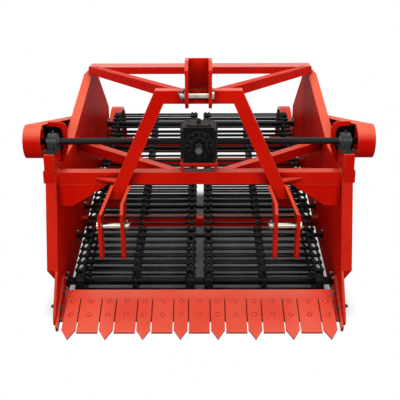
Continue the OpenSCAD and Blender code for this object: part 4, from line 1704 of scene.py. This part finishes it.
@dataclass
class RollerChain:
    """The roller chain of one half and the teeth of its two sprockets."""

    side: Side
    front: Pair = (-0.990, 0.850)
    rear: Pair = (0.772, 0.495)
    radius: float = 0.057
    x: float = 0.774
    links: int = 156
    teeth: int = 14
    root: float = 0.0500
    tip: float = 0.0605
    inner_plates: Pair = (0.0042, 0.0058)
    outer_plates: Pair = (0.0062, 0.0078)
    plate_end: float = 0.0058
    plate_half: float = 0.0056
    roller_half: float = 0.0060
    roller_r: float = 0.0048
    tooth_thick: float = 0.0070

    def disc(self, low: float, high: float, long: float, wide: float, middle: float) -> Shape:
        """An eight-sided disc along X from low to high: long by wide half axes, its middle along the belt.

        Args:
            low: Its lower end in X.
            high: Its upper end in X.
            long: Half axis along the belt.
            wide: Half axis across the belt.
            middle: Its place along the belt.

        Returns:
            The disc.
        """
        made = Forms.turned([(0.0, low), (1.0, low), (1.0, high), (0.0, high)], 8)
        made = Shape(made.points * np.array([long, wide, 1.0]), made.faces)
        return made.at([0.0, middle, 0.0], Forms.across())

    def link(self, pitch: float, near: float, far: float) -> Shape:
        """One link: two plates between near and far from the middle plane, and its first pin's roller.

        Args:
            pitch: Length of a link.
            near: Inner faces of the plates.
            far: Outer faces of the plates.

        Returns:
            The link from its first pin along Y.
        """
        long = pitch / 2 + self.plate_end
        plates = [self.disc(*sorted((hand * near, hand * far)), long, self.plate_half, pitch / 2)
                  for hand in HANDS]
        roller = self.disc(-self.roller_half, self.roller_half, self.roller_r, self.roller_r, 0.0)
        return Shape.joined([*plates, roller])

    def tooth(self) -> Shape:
        """One tooth along Y from the root to the tip, narrowing, in the middle plane.

        Returns:
            The tooth, with the sprocket's axis at 0.
        """
        outline = [(self.root - 0.002, -0.0068), (self.root + 0.003, -0.0052), (self.tip, -0.0018),
                   (self.tip, 0.0018), (self.root + 0.003, 0.0052), (self.root - 0.002, 0.0068)]
        tooth = Forms.plate(outline, self.tooth_thick, 0.0006)
        return tooth.at([-self.tooth_thick / 2, 0.0, 0.0], Forms.across())

    def build(self, shop: Workshop) -> None:
        """Lay the links round the loop in place of the plain band, and set the teeth.

        Args:
            shop: The workshop.
        """
        loop = Loop(self.front, self.rear, self.radius)
        places, turns = loop.stations(self.links, self.x)
        pitch = loop.length / self.links
        inner = self.link(pitch, *self.inner_plates).repeated(turns[::2], places[::2])
        outer = self.link(pitch, *self.outer_plates).repeated(turns[1::2], places[1::2])
        shop.half("roller_chain", self.side, Shape.joined([inner, outer]), shop.finishes.chain, Slot.BLACK,
                  replaces=[f"drive_chain_{self.side.tag}"])
        angle = Forms.angles(self.teeth)
        spin = np.zeros((self.teeth, 3, 3))
        spin[:, 0, 0] = 1.0
        spin[:, 1, 1], spin[:, 2, 1] = np.cos(angle), np.sin(angle)
        spin[:, 1, 2], spin[:, 2, 2] = -np.sin(angle), np.cos(angle)
        rings = [self.tooth().repeated(spin, np.tile([self.x, *axis], (self.teeth, 1)))
                 for axis in (self.front, self.rear)]
        shop.half("sprocket_teeth", self.side, Shape.joined(rings), shop.finishes.black, Slot.BLACK)


@dataclass
class DepthWheel:
    """Dress of one depth wheel: bolts round its hub on both faces of the disc, and its weld to the rim."""

    side: Side
    x: float = 0.653
    y: float = 1.120
    z: float = 0.270
    disc: float = 0.004
    bolt_circle: float = 0.066
    bolts: int = 6
    bolt_size: float = 0.0085
    rim: float = 0.261
    leg: float = 0.0045
    steps: int = 180

    def weld(self, outward: float) -> Shape:
        """A ring of weld in the corner of the disc and the rim, rippled along its length.

        Args:
            outward: 1 for the disc's right face, -1 for its left one.

        Returns:
            The closed ring.
        """
        leg = self.leg * (1.0 + 0.18 * np.abs(np.sin(Forms.angles(self.steps) * 60.0)))
        corner = np.array([(0.1, -0.1), (0.1, 1.0), (-0.55, 0.62), (-1.0, -0.1)])
        rows = leg[:, None, None] * corner + np.array([self.rim, 0.0])
        place = [self.x + outward * self.disc, self.y, self.z]
        return Forms.ring(rows, self.steps).at(place, Forms.across(outward))

    def build(self, shop: Workshop) -> None:
        """Seat the bolts and welds on the turning wheel.

        Args:
            shop: The workshop.
        """
        hub = Bearing(self.y, self.z, self.x, 0.0)
        heads = [hub.bolts(self.bolt_circle, self.bolts, self.bolt_size, hand, self.x + hand * self.disc)
                 for hand in HANDS]
        welds = [self.weld(hand) for hand in HANDS]
        body = f"{self.side.tag}_wheel"
        shop.half("wheel_bolts", self.side, Shape.joined(heads), shop.finishes.bolt, Slot.PIN, body)
        shop.half("wheel_welds", self.side, Shape.joined(welds), shop.finishes.red, Slot.RED, body,
                  Smooth.ROUND)


@dataclass
class Studio:
    """Pale floor, soft lamps, white surroundings and the photograph's camera."""

    eye: Vector = (0.023, -4.161, 1.7265)
    yaw: float = 0.35
    down: float = 20.35
    roll: float = 0.23
    lens: float = 61.9
    sensor: float = 36.0
    floor_size: float = 40.0
    floor_lines: int = 9
    floor_z: float = -0.0005
    floor_tone: float = 0.22
    world_strength: float = 0.13
    shade_near: float = 0.02
    shade_far: float = 0.20
    shade_boxes: Tuple[Tuple[float, float, float, float], ...] = (
        (0.0, -0.26, 0.61, 0.80), (-0.653, 1.12, 0.03, 0.16), (0.653, 1.12, 0.03, 0.16))
    lamps: Tuple[Tuple[str, Vector, Vector, float, float], ...] = (
        ("front_left", (-1.7, -4.3, 2.7), (0.0, -1.0, 0.55), 1.8, 76.0),
        ("front_right", (1.7, -4.3, 2.7), (0.0, -1.0, 0.55), 1.8, 70.0),
        ("top", (0.0, -0.3, 4.6), (0.0, -0.2, 0.0), 3.4, 140.0),
        ("side_left", (-5.0, 0.6, 1.1), (-0.7, 0.2, 0.45), 1.6, 70.0),
        ("side_right", (5.0, 0.6, 1.1), (0.7, 0.2, 0.45), 1.6, 70.0))

    def gap(self, kit: NodeKit) -> Tone:
        """Distance on the floor from the nearest shaded box: the root of the squared ways past its sides.

        Args:
            kit: Node maker of the floor's material.

        Returns:
            The distance in metres.
        """
        x, y = (kit.node("ShaderNodeSeparateXYZ", {}, {0: kit.place()}, axis) for axis in (0, 1))
        gaps = [(x.beyond(a, w) ** 2.0 + y.beyond(b, h) ** 2.0) ** 0.5 for a, b, w, h in self.shade_boxes]
        return gaps[0].least(gaps[1]).least(gaps[2])

    def floor(self) -> None:
        """The pale floor: a flat grid whose far part is white to the camera, reflections and glass."""
        half, count = self.floor_size / 2, self.floor_lines
        line = np.linspace(-half, half, count)
        y, x = np.meshgrid(line, line, indexing="ij")
        points = np.stack([x.ravel(), y.ravel(), np.full(x.size, self.floor_z)], 1)
        mesh = bpy.data.meshes.new("floor")
        mesh.from_pydata(points.tolist(), [], Forms.grid_faces(count, count, False, False).tolist())
        mesh.update()
        kit = NodeKit("floor_white")
        gap = self.gap(kit)
        paint = kit.node("ShaderNodeBsdfDiffuse", {}, {"Color": (self.floor_tone,) * 3})
        glow = kit.node("ShaderNodeEmission", {}, {"Color": (1.0, 1.0, 1.0), "Strength": 1.0})
        white = kit.seen() * gap.over(self.shade_near, self.shade_far)
        kit.node_output(kit.node("ShaderNodeMixShader", {}, {0: white, 1: paint, 2: glow}))
        mesh.materials.append(kit.material)
        made = bpy.data.objects.new("floor", mesh)
        bpy.context.scene.collection.objects.link(made)

    def lamp(self, name: str, place: Vector, aim: Vector, size: float, watts: float) -> None:
        """Hang one soft square lamp.

        Args:
            name: Its name.
            place: Where it hangs.
            aim: The point that it faces.
            size: Its side.
            watts: Its power.
        """
        light = bpy.data.lights.new(name, "AREA")
        light.shape, light.size, light.energy = "SQUARE", size, watts
        made = bpy.data.objects.new(name, light)
        made.location = place
        turn = Forms.facing(np.asarray(place) - np.asarray(aim))
        made.rotation_mode = "QUATERNION"
        made.rotation_quaternion = Matrix(turn.tolist()).to_quaternion()
        bpy.context.scene.collection.objects.link(made)

    def world(self) -> None:
        """White surroundings: full white to the camera, reflections and glass, softer to other light."""
        world = bpy.data.worlds.new("surroundings")
        bpy.context.scene.world = world
        world.use_nodes = True
        kit = NodeKit(tree=world.node_tree)
        level = self.world_strength + (1.0 - self.world_strength) * kit.seen()
        back = kit.node("ShaderNodeBackground", {}, {"Color": (1.0, 1.0, 1.0), "Strength": level})
        kit.node_output(back, "ShaderNodeOutputWorld")

    def camera(self) -> None:
        """Stand the camera where the photograph was taken."""
        view = bpy.data.cameras.new("camera")
        view.lens, view.sensor_width = self.lens, self.sensor
        made = bpy.data.objects.new("camera", view)
        made.location = self.eye
        made.rotation_mode = "QUATERNION"
        turns = ((self.yaw, "Z"), (90.0 - self.down, "X"), (-self.roll, "Z"))
        swing, tilt, lean = (Matrix.Rotation(math.radians(angle), 3, axis) for angle, axis in turns)
        made.rotation_quaternion = (swing @ tilt @ lean).to_quaternion()
        bpy.context.scene.collection.objects.link(made)
        bpy.context.scene.camera = made

    def build(self) -> None:
        """Set up the studio."""
        bpy.context.scene.view_settings.view_transform = "Standard"
        self.floor()
        self.world()
        self.camera()
        for lamp in self.lamps:
            self.lamp(*lamp)


class NodeDress:
    """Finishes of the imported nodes, by the finish's name: those of both halves, and the single ones."""

    PAIRED = {
        "red": ("brace", "mast_leg", "lower_hitch", "bearing_stand", "wheel_arm", "wheel", "share_cheek"),
        "plate": ("side_plate", "chain_guard"), "black": ("cross_shaft", "shaft_bearings", "web"),
        "chain": ("drive_chain",), "bearing": ("pillow_block",), "tube": ("stay",), "pin": ("lower_pin",)}
    SINGLE = {
        "red": ("main_beam", "mid_tubes", "mast_head", "gearbox_mount", "wheel_hanger"),
        "black": ("front_web_shaft", "rear_web_shaft", "carrier_rollers"),
        "share": ("share_carrier", "share_tines", "share_plates"), "iron": ("gearbox",),
        "gloss": ("rear_beam",), "pin": ("upper_pin", "input_shaft")}

    def build(self, shop: Workshop) -> None:
        """Assign each node its finish.

        Args:
            shop: The workshop.
        """
        for table, ends in ((self.PAIRED, [f"_{side.tag}" for side in Side]), (self.SINGLE, [""])):
            for look, names in table.items():
                shop.dress([name + end for name in names for end in ends], getattr(shop.finishes, look))
        log.info("%d nodes dressed", len(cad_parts))


def main() -> None:
    """Build the studio, the finishes and each sub-assembly in order."""
    logging.basicConfig(level=logging.INFO, format="%(name)s %(message)s")
    Studio().build()
    shop = Workshop(Finishes())
    NodeDress().build(shop)
    for side in Side:
        RodWeb(side).build(shop)
        RollerChain(side).build(shop)
        DepthWheel(side).build(shop)
    Share().build(shop)
    Gearbox().build(shop)
    Hitch().build(shop)
    DriveLine().build(shop)
    Welds().build(shop)
    Chassis().build(shop)


if __name__ == "__main__":
    main()
